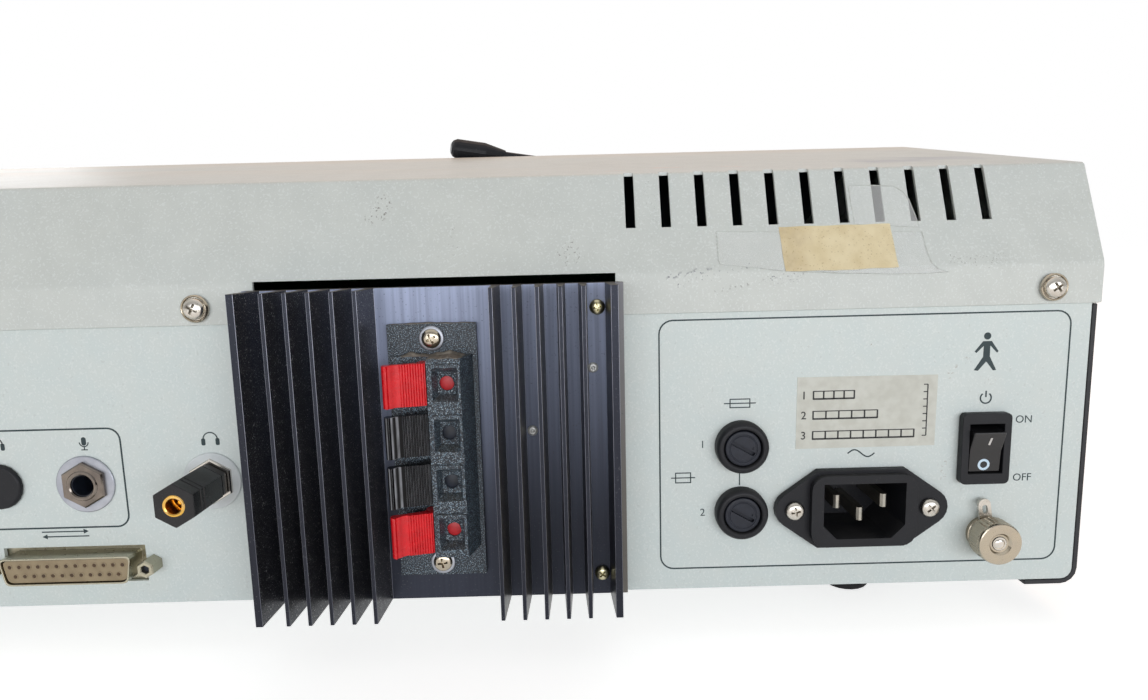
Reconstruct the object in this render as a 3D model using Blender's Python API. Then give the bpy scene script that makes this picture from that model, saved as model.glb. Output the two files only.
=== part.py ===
"""Desktop clinical audiometer, built from separate named pieces.

X runs along the rear panel, Y from the rear panel towards the operator, Z up.
The origin is on the table, below the middle of the whole object.
Every length is in metres, written as a number of millimetres.
"""
import math

import bmesh
import bpy
from mathutils import Matrix, Vector

for old_object in list(bpy.data.objects):
    bpy.data.objects.remove(old_object, do_unlink=True)

MM = 0.001

# Sides of round pieces: large, middle-sized and small
LARGE = 32
MIDDLE = 20
SMALL = 12

# Clearances and cutter overrun
gap = 0.3 * MM
overrun = 4 * MM

# Case: widths, sheet thicknesses and the side profile
half_width = 259.4 * MM
shell_depth = 385 * MM
panel_sheet = 1.2 * MM
cover_sheet = 1.0 * MM
side_sheet = 1.5 * MM
tray_sheet = 1.2 * MM
seam_height = 84.5 * MM
lip_height = 11.5 * MM
slant_run = 11.4 * MM
slant_rise = 29.1 * MM
top_run = 117.9 * MM
top_rise = 20.4 * MM
front_height = 46 * MM
front_seam_height = 25 * MM
panel_upstand = 9 * MM
lip_bend = 6 * MM
top_bend = 1.8 * MM
ridge_bend = 3 * MM
front_bend = 5 * MM
side_flange = 16 * MM
side_corner = 5 * MM
foot_height = 12.7 * MM
foot_radius = 9 * MM
foot_tip_radius = 7.6 * MM
foot_side_inset = 60 * MM
foot_rear_inset = 28.5 * MM
foot_front_inset = 40 * MM

# Vent slots in the slanted face of the cover
vent_count = 11
vent_pitch = 10.33 * MM
vent_width = 2.8 * MM
vent_first_inset = 31.4 * MM
vent_bottom_height = 109 * MM
vent_top_run = 1.2 * MM

# Cover screws along the lip
cover_screw_inset = 14.6 * MM
cover_screw_rise = 4.8 * MM
cover_middle_clearance = 14.5 * MM
cover_screw_radius = 2 * MM
cover_screw_head = 3.1 * MM
cover_screw_washer = 3.9 * MM
washer_sheet = 0.7 * MM
screw_head_height = 1.9 * MM

# Heat sink: an extruded profile that stands on the rear panel
sink_inset = 191.3 * MM
sink_half_width = 53.6 * MM
sink_side_margin = 2.4 * MM
sink_rebate = 2.5 * MM
sink_bottom = 1.4 * MM
sink_seam_overlap = 9.5 * MM
sink_base = 4.2 * MM
sink_proud = 19 * MM
fin_count = 6
fin_first = 17.7 * MM
fin_pitch = 6.1 * MM
fin_root = 2.4 * MM
fin_tip = 1.1 * MM
outer_fin_root = 2.8 * MM
outer_fin_tip = 2.0 * MM
sink_screw_offset = 46.1 * MM
sink_screw_edge = 6.8 * MM
sink_screw_radius = 1.3 * MM
sink_screw_head = 2.2 * MM
sink_notch_clearance = 0.5 * MM
sink_notch_rise = 0.4 * MM

# Speaker terminal: plate, raised block, four wire funnels and four levers
terminal_inset = 191.8 * MM
terminal_drop = 0.9 * MM
terminal_plate_width = 25 * MM
terminal_plate_height = 74 * MM
terminal_plate_sheet = 1.8 * MM
terminal_cell = 14.1 * MM
terminal_cells = 4
terminal_block_left = 0.4 * MM
terminal_block_right = 11.5 * MM
terminal_block_lean = 2.6 * MM
terminal_block_proud = 8.2 * MM
terminal_shelf_left = 11.2 * MM
terminal_shelf_proud = 1.6 * MM
terminal_screw_spread = 32.9 * MM
terminal_boss_half_width = 7.5 * MM
terminal_boss_half_height = 25 * MM
terminal_boss_depth = 12 * MM
funnel_width = 7.0 * MM
funnel_height = 9.2 * MM
funnel_depth = 6.8 * MM
funnel_floor_share = 0.72
funnel_offset = 4.6 * MM
lever_height = 12 * MM
lever_length = 8.2 * MM
lever_rise = 2.3 * MM
lever_front = 4.0 * MM
lever_back = 1.3 * MM
lever_eye = 1.3 * MM
lever_nose = 1.9 * MM
lever_rib_count = 7
lever_rib_depth = 0.35 * MM
lever_axis_depth = 10.2 * MM
lever_thickness = 1.9 * MM

# Small pan head screws of the terminal and the mains inlet
small_screw_radius = 1.4 * MM
small_screw_head = 2.8 * MM
small_head_height = 1.5 * MM
screw_grip = 6 * MM

# Fuse holders with quarter turn caps
fuse_inset = 103.3 * MM
fuse_heights = (44.5 * MM, 24.2 * MM)
fuse_flange_radius = 7.75 * MM
fuse_proud = 4 * MM
fuse_barrel_radius = 6 * MM
fuse_bore_radius = 5.6 * MM
fuse_barrel_length = 32 * MM
fuse_wall = 1.0 * MM
fuse_barrel_inner = 4.6 * MM
fuse_bore_depth = 7 * MM
fuse_cap_radius = 5.3 * MM
fuse_cap_length = 6 * MM
fuse_cap_recess = 0.7 * MM
fuse_slot_width = 1.1 * MM
fuse_slot_length = 7.6 * MM
fuse_slot_depth = 1.2 * MM
fuse_slot_turn = math.radians(-30)

# Mains inlet
inlet_inset = 67.8 * MM
inlet_height = 25 * MM
inlet_screw_spread = 20 * MM
inlet_ear_radius = 5.6 * MM
inlet_flange_flat = 13 * MM
inlet_flange_half_height = 11.9 * MM
inlet_flange_sheet = 2.5 * MM
inlet_rim_half_width = 15.6 * MM
inlet_rim_half_height = 10.9 * MM
inlet_rim_corner = 4.5 * MM
inlet_rim_proud = 4.8 * MM
inlet_body_half_width = 13.4 * MM
inlet_body_half_height = 9.8 * MM
inlet_body_depth = 19 * MM
inlet_cavity_half_width = 12 * MM
inlet_cavity_half_height = 8.4 * MM
inlet_cavity_chamfer = 4 * MM
inlet_cavity_depth = 16 * MM
blade_thickness = 2 * MM
blade_height = 4 * MM
blade_length = 17.5 * MM
blade_tip = 0.6 * MM
blade_side_offset = 7 * MM
blade_offset = 2 * MM

# Rocker power switch
switch_inset = 31.6 * MM
switch_height = 42.2 * MM
switch_half_width = 7.2 * MM
switch_half_height = 10.7 * MM
switch_bezel_proud = 2.4 * MM
switch_window_half_width = 5.1 * MM
switch_window_half_height = 7.5 * MM
switch_body_half_width = 6.2 * MM
switch_body_half_height = 9.4 * MM
switch_body_depth = 15 * MM
switch_well_depth = 9.5 * MM
rocker_half_width = 4.7 * MM
rocker_radius = 6.4 * MM
rocker_tilt = math.radians(12)
rocker_dish = 0.9 * MM
rocker_front = 4.2 * MM
rocker_axis_depth = 0.8 * MM
rocker_back = 3.0 * MM

# Ground post with slotted lug and knurled nut
ground_inset = 29.7 * MM
ground_height = 15.5 * MM
ground_flange_radius = 5 * MM
ground_flange_sheet = 1.4 * MM
ground_stud_radius = 2 * MM
ground_stud_proud = 8.4 * MM
ground_stud_depth = 9 * MM
ground_lug_width = 3.7 * MM
ground_lug_length = 11.6 * MM
ground_lug_lean = math.radians(9)
ground_lug_sheet = 0.8 * MM
ground_lug_slot_width = 1.5 * MM
ground_lug_slot_length = 2.7 * MM
ground_lug_eye_radius = 3.6 * MM
ground_nut_radius = 6.4 * MM
ground_nut_length = 6.2 * MM
ground_nut_recess = 3.2 * MM
ground_nut_recess_depth = 0.8 * MM
ground_nut_knurl_count = 20
ground_nut_knurl_depth = 0.25 * MM

# Serial socket with 25 ways
dsub_inset = 303.7 * MM
dsub_height = 12.9 * MM
dsub_half_width = 19.5 * MM
dsub_half_height = 4.2 * MM
dsub_slope = math.tan(math.radians(10))
dsub_corner = 1.6 * MM
dsub_shell_sheet = 0.5 * MM
dsub_proud = 5 * MM
dsub_insert_recess = 0.6 * MM
dsub_flange_half_width = 26.5 * MM
dsub_flange_half_height = 6.1 * MM
dsub_flange_sheet = 0.8 * MM
dsub_body_depth = 9 * MM
dsub_cut_half_width = 21.2 * MM
dsub_cut_half_height = 5.7 * MM
jackscrew_spread = 23.52 * MM
jackscrew_hex_radius = 2.75 * MM
jackscrew_length = 5 * MM
jackscrew_thread_radius = 1.3 * MM

# Quarter inch jacks, the adapter in one of them, and the blanked socket
talk_back_inset = 297.7 * MM
monitor_inset = 260.2 * MM
jack_height = 38 * MM
jack_washer_radius = 8.6 * MM
jack_washer_sheet = 0.6 * MM
jack_nut_radius = 7.0 * MM
jack_nut_length = 1.2 * MM
jack_bush_radius = 4.6 * MM
jack_bore_radius = 3.3 * MM
jack_bore_depth = 30 * MM
jack_body_radius = 7.5 * MM
jack_body_depth = 34 * MM
adapter_reach = 21.4 * MM
adapter_radius = 6.2 * MM
adapter_plug_radius = 3.05 * MM
adapter_plug_length = 28 * MM
adapter_mouth_radius = 2.6 * MM
adapter_mouth_depth = 14 * MM
adapter_side_count = 6
blank_inset = 323 * MM
blank_radius = 6.9 * MM
blank_proud = 1.4 * MM
blank_barrel_radius = 5.4 * MM
blank_barrel_depth = 7 * MM
socket_count = 4
socket_pitch = 25.2 * MM
socket_first_inset = 348.2 * MM
socket_collar_radius = 6 * MM
socket_collar_proud = 2.6 * MM
socket_block_half_height = 9 * MM
socket_block_depth = 26 * MM
socket_block_margin = 9 * MM
plate_right_inset = 286.4 * MM
plate_left_margin = 17 * MM
plate_drop = 13.3 * MM
plate_rise = 16.6 * MM
plate_corner = 3.5 * MM

# Operator panel on the front slope
fascia_side_inset = 11 * MM
fascia_ridge_inset = 9 * MM
fascia_front_inset = 10 * MM
fascia_sheet = 2 * MM
fascia_corner = 7 * MM
fascia_overlap = 7 * MM
display_down = 30 * MM
display_width = 168 * MM
display_height = 58 * MM
display_bezel = 5 * MM
display_corner = 3 * MM
display_window_sheet = 1.6 * MM
display_module_depth = 11 * MM
dial_side_inset = 70.4 * MM
dial_down_share = 0.6386
dial_skirt_radius = 31 * MM
dial_skirt_height = 4 * MM
dial_grip_radius = 21 * MM
dial_grip_tip_radius = 18.5 * MM
dial_height = 20 * MM
dial_flute_count = 18
dial_flute_depth = 0.9 * MM
shaft_radius = 3 * MM
shaft_clearance = 0.4 * MM
shaft_length = 12 * MM
key_dial_spacing = 74 * MM
key_down_share = 0.7765
key_width = 38 * MM
key_height = 20 * MM
key_proud = 6.5 * MM
key_corner = 4 * MM
key_depth = 7 * MM
key_travel = 3 * MM
key_bevel = 1.2 * MM
key_switch_half_width = 6 * MM
control_board_clearance = 16 * MM
control_board_front_inset = 37.6 * MM
control_board_side_inset = 26.4 * MM
key_edge_segment_count = 2

# Talk microphone on a short stem, folded down along the ridge
microphone_across = 125.3 * MM
microphone_down = 30 * MM
microphone_boss_radius = 8 * MM
microphone_boss_height = 3.2 * MM
microphone_plug_depth = 6 * MM
stem_radius = 1.8 * MM
stem_plug_radius = 3.4 * MM
stem_plug_height = 1.6 * MM
stem_swing = 49.5 * MM
stem_ridge_shift = 17.5 * MM
stem_crest = 7.2 * MM
stem_end_height = 5.3 * MM
stem_shares = ((0.04, 0.8), (0.14, 1.0), (0.32, 0.7), (0.55, 0.2), (0.78, 0.05), (1.0, 0.0))
microphone_radius = 4.5 * MM
microphone_taper = 10 * MM
microphone_length = 25.5 * MM

# Inside the case
board_half_width = 150 * MM
board_depth = 190 * MM
board_across = -60 * MM
board_rear_inset = 90 * MM
board_sheet = 1.6 * MM
board_post_height = 8 * MM
board_post_radius = 3.5 * MM
board_post_inset = 8 * MM
board_part_height = 9 * MM
board_part_shares = (1.0, 0.35, 0.7, 0.5)
board_part_row_count = 3
board_part_column_count = 5
board_part_width = 22 * MM
board_part_depth = 14 * MM
transformer_inset = 80 * MM
transformer_rear_inset = 88 * MM
transformer_radius = 48 * MM
transformer_height = 44 * MM
transformer_round = 7 * MM
clamp_radius = 27 * MM
clamp_height = 3 * MM
clamp_bolt_head = 7 * MM
clamp_bolt_head_height = 4 * MM
amplifier_half_width = 43.5 * MM
amplifier_drop = 0.5 * MM
amplifier_bottom = 8 * MM
amplifier_sheet = 1.6 * MM
amplifier_device_count = 4
amplifier_device_pitch = 23 * MM
amplifier_device_half_width = 8 * MM
amplifier_device_height = 16 * MM
amplifier_device_thickness = 5 * MM

# Places worked out from the sizes above
rear_y = (adapter_reach - shell_depth) / 2
deck_z = foot_height + gap
lip_y = -(cover_sheet + gap)
ridge_y = lip_y + slant_run + top_run
ridge_z = seam_height + lip_height + slant_rise + top_rise
slope_run = shell_depth - ridge_y
slope_drop = ridge_z - front_height
slope_angle = math.atan2(slope_drop, slope_run)
slope_length = math.hypot(slope_run, slope_drop)
panel_half_width = half_width - side_sheet - gap
jack_face = jack_washer_sheet + jack_nut_length
fascia_top = gap + fascia_sheet
cover_screw_height = seam_height + cover_screw_rise
amplifier_height = seam_height - amplifier_drop
sink_height = seam_height + sink_seam_overlap - sink_bottom
sink_middle = sink_bottom + sink_height / 2
sink_screw_spread = sink_height / 2 - sink_screw_edge
sink_back_half = sink_half_width - sink_rebate
sink_rebate_face = gap - lip_y
terminal_height = sink_middle - terminal_drop
fascia_half_width = half_width - fascia_side_inset
dial_across = fascia_half_width - dial_side_inset
dial_down = slope_length * dial_down_share
key_across = dial_across - key_dial_spacing
key_down = slope_length * key_down_share
control_board_start = display_down + display_height + control_board_clearance
control_board_length = slope_length - control_board_start - control_board_front_inset
control_board_half_width = fascia_half_width - control_board_side_inset
sink_face = gap + sink_base
terminal_face = sink_face + gap + terminal_plate_sheet
terminal_front = terminal_face + terminal_block_proud

materials = {}


def material(name, colour, roughness, metallic=0.0):
    """Return the named material, made on first use."""
    if name not in materials:
        made = bpy.data.materials.new(name)
        made.use_nodes = True
        shader = made.node_tree.nodes["Principled BSDF"]
        shader.inputs["Base Color"].default_value = (*colour, 1.0)
        shader.inputs["Roughness"].default_value = roughness
        shader.inputs["Metallic"].default_value = metallic
        materials[name] = made
    return materials[name]


GREY_PAINT = material("grey_paint", (0.56, 0.60, 0.58), 0.55)
BLACK_PAINT = material("black_paint", (0.015, 0.015, 0.017), 0.5)
ANODISED = material("black_anodised", (0.02, 0.022, 0.035), 0.45, 0.6)
BLACK_PLASTIC = material("black_plastic", (0.016, 0.016, 0.02), 0.45)
TEXTURED_PLASTIC = material("textured_plastic", (0.035, 0.04, 0.045), 0.7)
RED_PLASTIC = material("red_plastic", (0.72, 0.01, 0.02), 0.35)
NICKEL = material("nickel", (0.62, 0.58, 0.50), 0.3, 1.0)
RUBBER = material("rubber", (0.02, 0.02, 0.02), 0.85)
TAN_PLASTIC = material("tan_plastic", (0.30, 0.22, 0.14), 0.6)
FASCIA_FILM = material("fascia_film", (0.62, 0.63, 0.61), 0.5)
GLASS = material("display_glass", (0.10, 0.14, 0.12), 0.08)
KEY_PLASTIC = material("key_plastic", (0.10, 0.17, 0.30), 0.45)
BOARD = material("circuit_board", (0.02, 0.16, 0.06), 0.5)
COPPER_TAPE = material("transformer_tape", (0.55, 0.42, 0.08), 0.4)
MODULE_METAL = material("module_metal", (0.5, 0.5, 0.5), 0.4, 1.0)


def at(across, depth, height):
    """World point from X, the distance in front of the rear face, and the height over its foot."""
    return Vector((across, rear_y + depth, deck_z + height))


def from_side(inset):
    """X of a place given by its distance from the right side of the case."""
    return half_width - inset


def on_slope(across, down, out):
    """World point on the operator slope: down from the ridge and out along its normal."""
    depth = ridge_y + down * math.cos(slope_angle) + out * math.sin(slope_angle)
    height = ridge_z - down * math.sin(slope_angle) + out * math.cos(slope_angle)
    return at(across, depth, height)


OUT_OF_PANEL = (math.pi / 2, 0, 0)
OUT_OF_SLOPE = (-slope_angle, 0, 0)
UPRIGHT = (0, 0, 0)
AXES = {"X": (1, 2, 0), "Y": (0, 2, 1), "Z": (0, 1, 2)}


def prism(outline, axis, low, high):
    """Extrude a closed outline along X, Y or Z; the outline gives the other two in order."""
    first, second, along = AXES[axis]
    shape = bmesh.new()
    rings = []
    for level in (low, high):
        ring = []
        for u, v in outline:
            point = [0.0, 0.0, 0.0]
            point[first], point[second], point[along] = u, v, level
            ring.append(shape.verts.new(point))
        rings.append(ring)
    count = len(outline)
    shape.faces.new(rings[0])
    shape.faces.new(rings[1])
    for i in range(count):
        j = (i + 1) % count
        shape.faces.new((rings[0][i], rings[0][j], rings[1][j], rings[1][i]))
    bmesh.ops.recalc_face_normals(shape, faces=shape.faces)
    return shape


def block(low, high):
    """A box between two opposite corners."""
    outline = [(low[0], low[1]), (high[0], low[1]), (high[0], high[1]), (low[0], high[1])]
    return prism(outline, "Z", low[2], high[2])


def taper(half_low, half_high, low, high, centre):
    """A four sided funnel along Y from one half size to another."""
    shape = bmesh.new()
    rings = []
    for (half_x, half_z), level in ((half_low, low), (half_high, high)):
        corners = ((-half_x, -half_z), (half_x, -half_z), (half_x, half_z), (-half_x, half_z))
        rings.append([shape.verts.new((centre[0] + x, level, centre[1] + z)) for x, z in corners])
    shape.faces.new(rings[0])
    shape.faces.new(rings[1])
    for i in range(4):
        j = (i + 1) % 4
        shape.faces.new((rings[0][i], rings[0][j], rings[1][j], rings[1][i]))
    bmesh.ops.recalc_face_normals(shape, faces=shape.faces)
    return shape


def turned(profile, sides, ring=False):
    """Turn (radius, height) points about Z; a ring profile closes on itself."""
    shape = bmesh.new()
    rows = []
    for radius, height in profile:
        if radius == 0:
            rows.append([shape.verts.new((0, 0, height))])
            continue
        angles = [2 * math.pi * i / sides for i in range(sides)]
        rows.append([shape.verts.new((radius * math.cos(a), radius * math.sin(a), height)) for a in angles])
    pairs = list(zip(rows, rows[1:]))
    if ring:
        pairs.append((rows[-1], rows[0]))
    for lower, upper in pairs:
        for i in range(sides):
            j = (i + 1) % sides
            corners = [lower[i % len(lower)], lower[j % len(lower)], upper[j % len(upper)], upper[i % len(upper)]]
            corners = list(dict.fromkeys(corners))
            if len(corners) > 2:
                shape.faces.new(corners)
    bmesh.ops.recalc_face_normals(shape, faces=shape.faces)
    return shape


def rounded(half_x, half_y, corner, centre=(0, 0), steps=4):
    """Outline of a rectangle with round corners."""
    points = []
    for quarter, (sx, sy) in enumerate(((1, 1), (-1, 1), (-1, -1), (1, -1))):
        for step in range(steps + 1):
            angle = math.pi / 2 * (quarter + step / steps)
            x = centre[0] + sx * (half_x - corner) + corner * math.cos(angle)
            y = centre[1] + sy * (half_y - corner) + corner * math.sin(angle)
            points.append((x, y))
    return points


def circle(radius, sides, centre=(0, 0), turn=0.0):
    """Outline of a regular polygon or circle."""
    angles = [turn + 2 * math.pi * i / sides for i in range(sides)]
    return [(centre[0] + radius * math.cos(a), centre[1] + radius * math.sin(a)) for a in angles]


def moved(shape, where, turn=UPRIGHT):
    """Place a shape: turn it, then shift it."""
    rotation = Matrix.Rotation(turn[2], 4, "Z") @ Matrix.Rotation(turn[1], 4, "Y") @ Matrix.Rotation(turn[0], 4, "X")
    bmesh.ops.transform(shape, matrix=Matrix.Translation(Vector(where)) @ rotation, verts=shape.verts)
    return shape


def together(shapes):
    """Put several shapes that don't touch into one."""
    joined = bmesh.new()
    holder = bpy.data.meshes.new("holder")
    for shape in shapes:
        shape.to_mesh(holder)
        joined.from_mesh(holder)
        shape.free()
    bpy.data.meshes.remove(holder)
    return joined


def piece(name, shape, look, where=(0, 0, 0), turn=UPRIGHT, smooth_angle=None):
    """Make a named object from a shape, with its own origin and material."""
    mesh = bpy.data.meshes.new(name)
    shape.to_mesh(mesh)
    shape.free()
    mesh.materials.append(look)
    made = bpy.data.objects.new(name, mesh)
    bpy.context.scene.collection.objects.link(made)
    made.location = where
    made.rotation_euler = turn
    if smooth_angle is not None:
        mesh.shade_smooth()
        mesh.set_sharp_from_angle(angle=math.radians(smooth_angle))
    return made


def helper(name, shape, owner):
    """A hidden operand in its owner's own coordinates."""
    tool = piece(name, shape, owner.data.materials[0])
    tool.parent = owner
    tool.hide_render = True
    tool.display_type = "WIRE"
    return tool


def combine(owner, operation, shape, label):
    """Add or cut away one shape with an exact Boolean."""
    modifier = owner.modifiers.new(label, "BOOLEAN")
    modifier.operation = operation
    modifier.solver = "EXACT"
    modifier.object = helper(owner.name + "_" + label, shape, owner)


def carve(owner, shape, label="cut"):
    combine(owner, "DIFFERENCE", shape, label)


def fuse(owner, shape, label="add"):
    combine(owner, "UNION", shape, label)


def inset_chain(points, distance):
    """Shift an open chain of points to its right hand side by one distance."""
    shifted = []
    for i, point in enumerate(points):
        before = points[i - 1] if i > 0 else None
        after = points[i + 1] if i + 1 < len(points) else None
        normals = []
        for start, end in ((before, point), (point, after)):
            if start is None or end is None:
                continue
            run, rise = end[0] - start[0], end[1] - start[1]
            length = math.hypot(run, rise)
            normals.append((rise / length, -run / length))
        mean_x = sum(n[0] for n in normals) / len(normals)
        mean_y = sum(n[1] for n in normals) / len(normals)
        scale = distance / (mean_x ** 2 + mean_y ** 2)
        shifted.append((point[0] + mean_x * scale, point[1] + mean_y * scale))
    return shifted


def seam_at(depth):
    """Height of the seam between the cover and the side panels."""
    return seam_height + (front_seam_height - seam_height) * depth / shell_depth


def panel_hole(across, height, radius, sides=SMALL):
    """A cutter through a sheet in the rear panel's plane that clears a round piece by the gap."""
    outline = circle((radius + gap) / math.cos(math.pi / sides), sides, (across, deck_z + height))
    return prism(outline, "Y", rear_y - overrun, rear_y + overrun)


def pan_screw(name, centre, face, radius, head, head_height, washer=0.0):
    """A pan head screw, or one with a washer, whose head rests on a face of the rear side."""
    start = face + gap
    profile = [(0, -screw_grip), (radius, -screw_grip), (radius, 0)]
    lift = 0.0
    if washer:
        lift = washer_sheet
        profile += [(washer, 0), (washer, lift)]
    profile += [(head, lift), (head, lift + head_height * 0.45), (head * 0.82, lift + head_height * 0.85)]
    profile += [(head * 0.4, lift + head_height), (0, lift + head_height)]
    where = at(centre[0], -start, centre[1])
    return piece(name, turned(profile, SMALL), NICKEL, where, OUT_OF_PANEL, 35)


def rounded_chain(points, radii, steps):
    """Replace each inner corner of an open chain by an arc of its own radius."""
    chain = [Vector(points[0])]
    for before, point, after, radius in zip(points, points[1:], points[2:], radii):
        corner = Vector(point)
        back = (Vector(before) - corner).normalized()
        ahead = (Vector(after) - corner).normalized()
        half = back.angle(ahead) / 2
        reach = radius / math.tan(half)
        centre = corner + (back + ahead).normalized() * radius / math.sin(half)
        start = corner + back * reach - centre
        end = corner + ahead * reach - centre
        for step in range(steps + 1):
            spoke = start.lerp(end, step / steps).normalized() * radius
            chain.append(centre + spoke)
    chain.append(Vector(points[-1]))
    return [(point.x, point.y) for point in chain]


def cover_chain():
    """Outer side profile of the cover, from its rear lip to its front lower edge."""
    corners = [
        (lip_y, seam_height),
        (lip_y, seam_height + lip_height),
        (lip_y + slant_run, ridge_z - top_rise),
        (ridge_y, ridge_z),
        (shell_depth, front_height),
        (shell_depth, front_seam_height),
    ]
    return rounded_chain(corners, (lip_bend, top_bend, ridge_bend, front_bend), 3)


def world_outline(points):
    """Depth and height pairs to world Y and Z."""
    return [(rear_y + depth, deck_z + height) for depth, height in points]


def make_top_cover():
    outer = cover_chain()
    cover = piece("top_cover", prism(world_outline(outer), "X", -half_width, half_width), GREY_PAINT)
    inner = inset_chain(outer, cover_sheet)
    inner[0] = (inner[0][0], front_seam_height - overrun)
    inner[-1] = (inner[-1][0], front_seam_height - overrun)
    reach = half_width - cover_sheet
    carve(cover, prism(world_outline(inner), "X", -reach, reach), "inside")

    half_opening = fascia_half_width - fascia_overlap
    opening_start = fascia_ridge_inset + fascia_overlap
    opening_end = slope_length - fascia_front_inset - fascia_overlap
    opening = block((-half_opening, opening_start, -overrun), (half_opening, opening_end, overrun))
    carve(cover, moved(opening, on_slope(0, 0, 0), OUT_OF_SLOPE), "operator_opening")

    notch_half = sink_back_half + sink_notch_clearance
    notch_low = at(from_side(sink_inset) - notch_half, lip_y - overrun, seam_height)
    notch_high = at(from_side(sink_inset) + notch_half, gap, seam_height + lip_height)
    notch_low.z -= overrun
    notch_high.z += sink_notch_rise
    carve(cover, block(notch_low, notch_high), "sink_notch")

    slots = []
    slant_angle = math.atan2(slant_rise, slant_run)
    slot_depth = lip_y + (vent_bottom_height - seam_height - lip_height) / math.tan(slant_angle)
    slot_top = lip_y + slant_run + vent_top_run
    for i in range(vent_count):
        x = from_side(vent_first_inset + vent_pitch * i)
        low = at(x - vent_width / 2, slot_depth - overrun, vent_bottom_height)
        high = at(x + vent_width / 2, slot_top, ridge_z)
        slots.append(block(low, high))
    carve(cover, together(slots), "vents")

    holes = [panel_hole(x, cover_screw_height, cover_screw_radius) for x in cover_screw_places()]
    carve(cover, together(holes), "screw_holes")


def cover_screw_places():
    reach = half_width - cover_screw_inset
    return (-reach, from_side(sink_inset) - sink_half_width - cover_middle_clearance, reach)


def make_rear_panel():
    outline = lower_section(side_sheet + gap, deck_z + seam_height + panel_upstand)
    panel = piece("rear_panel", prism(outline, "Y", rear_y, rear_y + panel_sheet), GREY_PAINT)
    holes = [panel_hole(x, cover_screw_height, cover_screw_radius) for x in cover_screw_places()]
    for height in fuse_heights:
        holes.append(panel_hole(from_side(fuse_inset), height, fuse_barrel_radius))
    holes.append(panel_hole(from_side(ground_inset), ground_height, ground_stud_radius))
    holes.append(panel_hole(from_side(monitor_inset), jack_height, jack_bush_radius))
    holes.append(prism(plate_outline(gap), "Y", rear_y - overrun, rear_y + overrun))
    for side in (-1, 1):
        across = from_side(inlet_inset) + side * inlet_screw_spread
        holes.append(panel_hole(across, inlet_height, small_screw_radius))
        across = from_side(dsub_inset) + side * jackscrew_spread
        holes.append(panel_hole(across, dsub_height, jackscrew_thread_radius))
        height = sink_middle + side * sink_screw_spread
        holes.append(panel_hole(from_side(sink_inset) + sink_screw_offset, height, sink_screw_radius))
        height = terminal_height + side * terminal_screw_spread
        holes.append(panel_hole(from_side(terminal_inset), height, small_screw_radius))
    windows = (
        (inlet_inset, inlet_height, inlet_body_half_width + gap, inlet_body_half_height + gap),
        (switch_inset, switch_height, switch_body_half_width + gap, switch_body_half_height + gap),
        (dsub_inset, dsub_height, dsub_cut_half_width, dsub_cut_half_height),
        (terminal_inset, terminal_height, terminal_boss_half_width + gap, terminal_boss_half_height + gap),
    )
    for inset, height, half_x, half_z in windows:
        low = at(from_side(inset) - half_x, -overrun, height - half_z)
        high = at(from_side(inset) + half_x, overrun, height + half_z)
        holes.append(block(low, high))
    carve(panel, together(holes), "cutouts")


def plate_outline(grow):
    """Outline of the plate that carries the left sockets, grown on every side."""
    left = socket_place(socket_count - 1) - plate_left_margin
    right = from_side(plate_right_inset)
    low = deck_z + jack_height - plate_drop
    high = deck_z + jack_height + plate_rise
    centre = ((left + right) / 2, (low + high) / 2)
    return rounded((right - left) / 2 + grow, (high - low) / 2 + grow, plate_corner + grow, centre)


def make_socket_plate():
    plate = piece("socket_plate", prism(plate_outline(0), "Y", rear_y, rear_y + panel_sheet), GREY_PAINT)
    holes = [panel_hole(from_side(talk_back_inset), jack_height, jack_bush_radius),
             panel_hole(from_side(blank_inset), jack_height, blank_barrel_radius)]
    for i in range(socket_count):
        holes.append(panel_hole(socket_place(i), jack_height, socket_collar_radius, MIDDLE))
    carve(plate, together(holes), "holes")


def make_base_tray():
    rear = panel_sheet + gap
    front = shell_depth
    rise = front_seam_height - gap
    points = [(rear, 0), (front, 0), (front, rise), (front - tray_sheet, rise)]
    points += [(front - tray_sheet, tray_sheet), (rear, tray_sheet)]
    tray = piece("base_tray", prism(world_outline(points), "X", -panel_half_width, panel_half_width), GREY_PAINT)
    posts = []
    for x, depth in board_corners():
        post = turned([(0, -tray_sheet / 2), (board_post_radius, -tray_sheet / 2),
                       (board_post_radius, board_post_height), (0, board_post_height)], SMALL)
        posts.append(moved(post, at(x, depth, tray_sheet)))
    fuse(tray, together(posts), "board_posts")
    section = lower_section(side_sheet + gap, deck_z + seam_height)
    combine(tray, "INTERSECT", prism(section, "Y", rear_y, rear_y + shell_depth + overrun), "corners")


def board_corners():
    reach = board_half_width - board_post_inset
    depths = (board_rear_inset + board_post_inset, board_rear_inset + board_depth - board_post_inset)
    return [(board_across + side * reach, depth) for side in (-1, 1) for depth in depths]


def lower_corner(shrink):
    """Round lower right corner of the case's section, shrunk from the outer skin."""
    radius = side_corner - shrink
    centre_x = half_width - side_corner
    centre_z = deck_z - (gap + side_sheet) + side_corner
    angles = [math.pi / 2 * (i / 4 - 1) for i in range(5)]
    return [(centre_x + radius * math.cos(a), centre_z + radius * math.sin(a)) for a in angles]


def lower_section(shrink, top):
    """Outline across the case with both lower corners round."""
    right = lower_corner(shrink) + [(half_width - shrink, top)]
    return right + [(-x, z) for x, z in reversed(right)]


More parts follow.
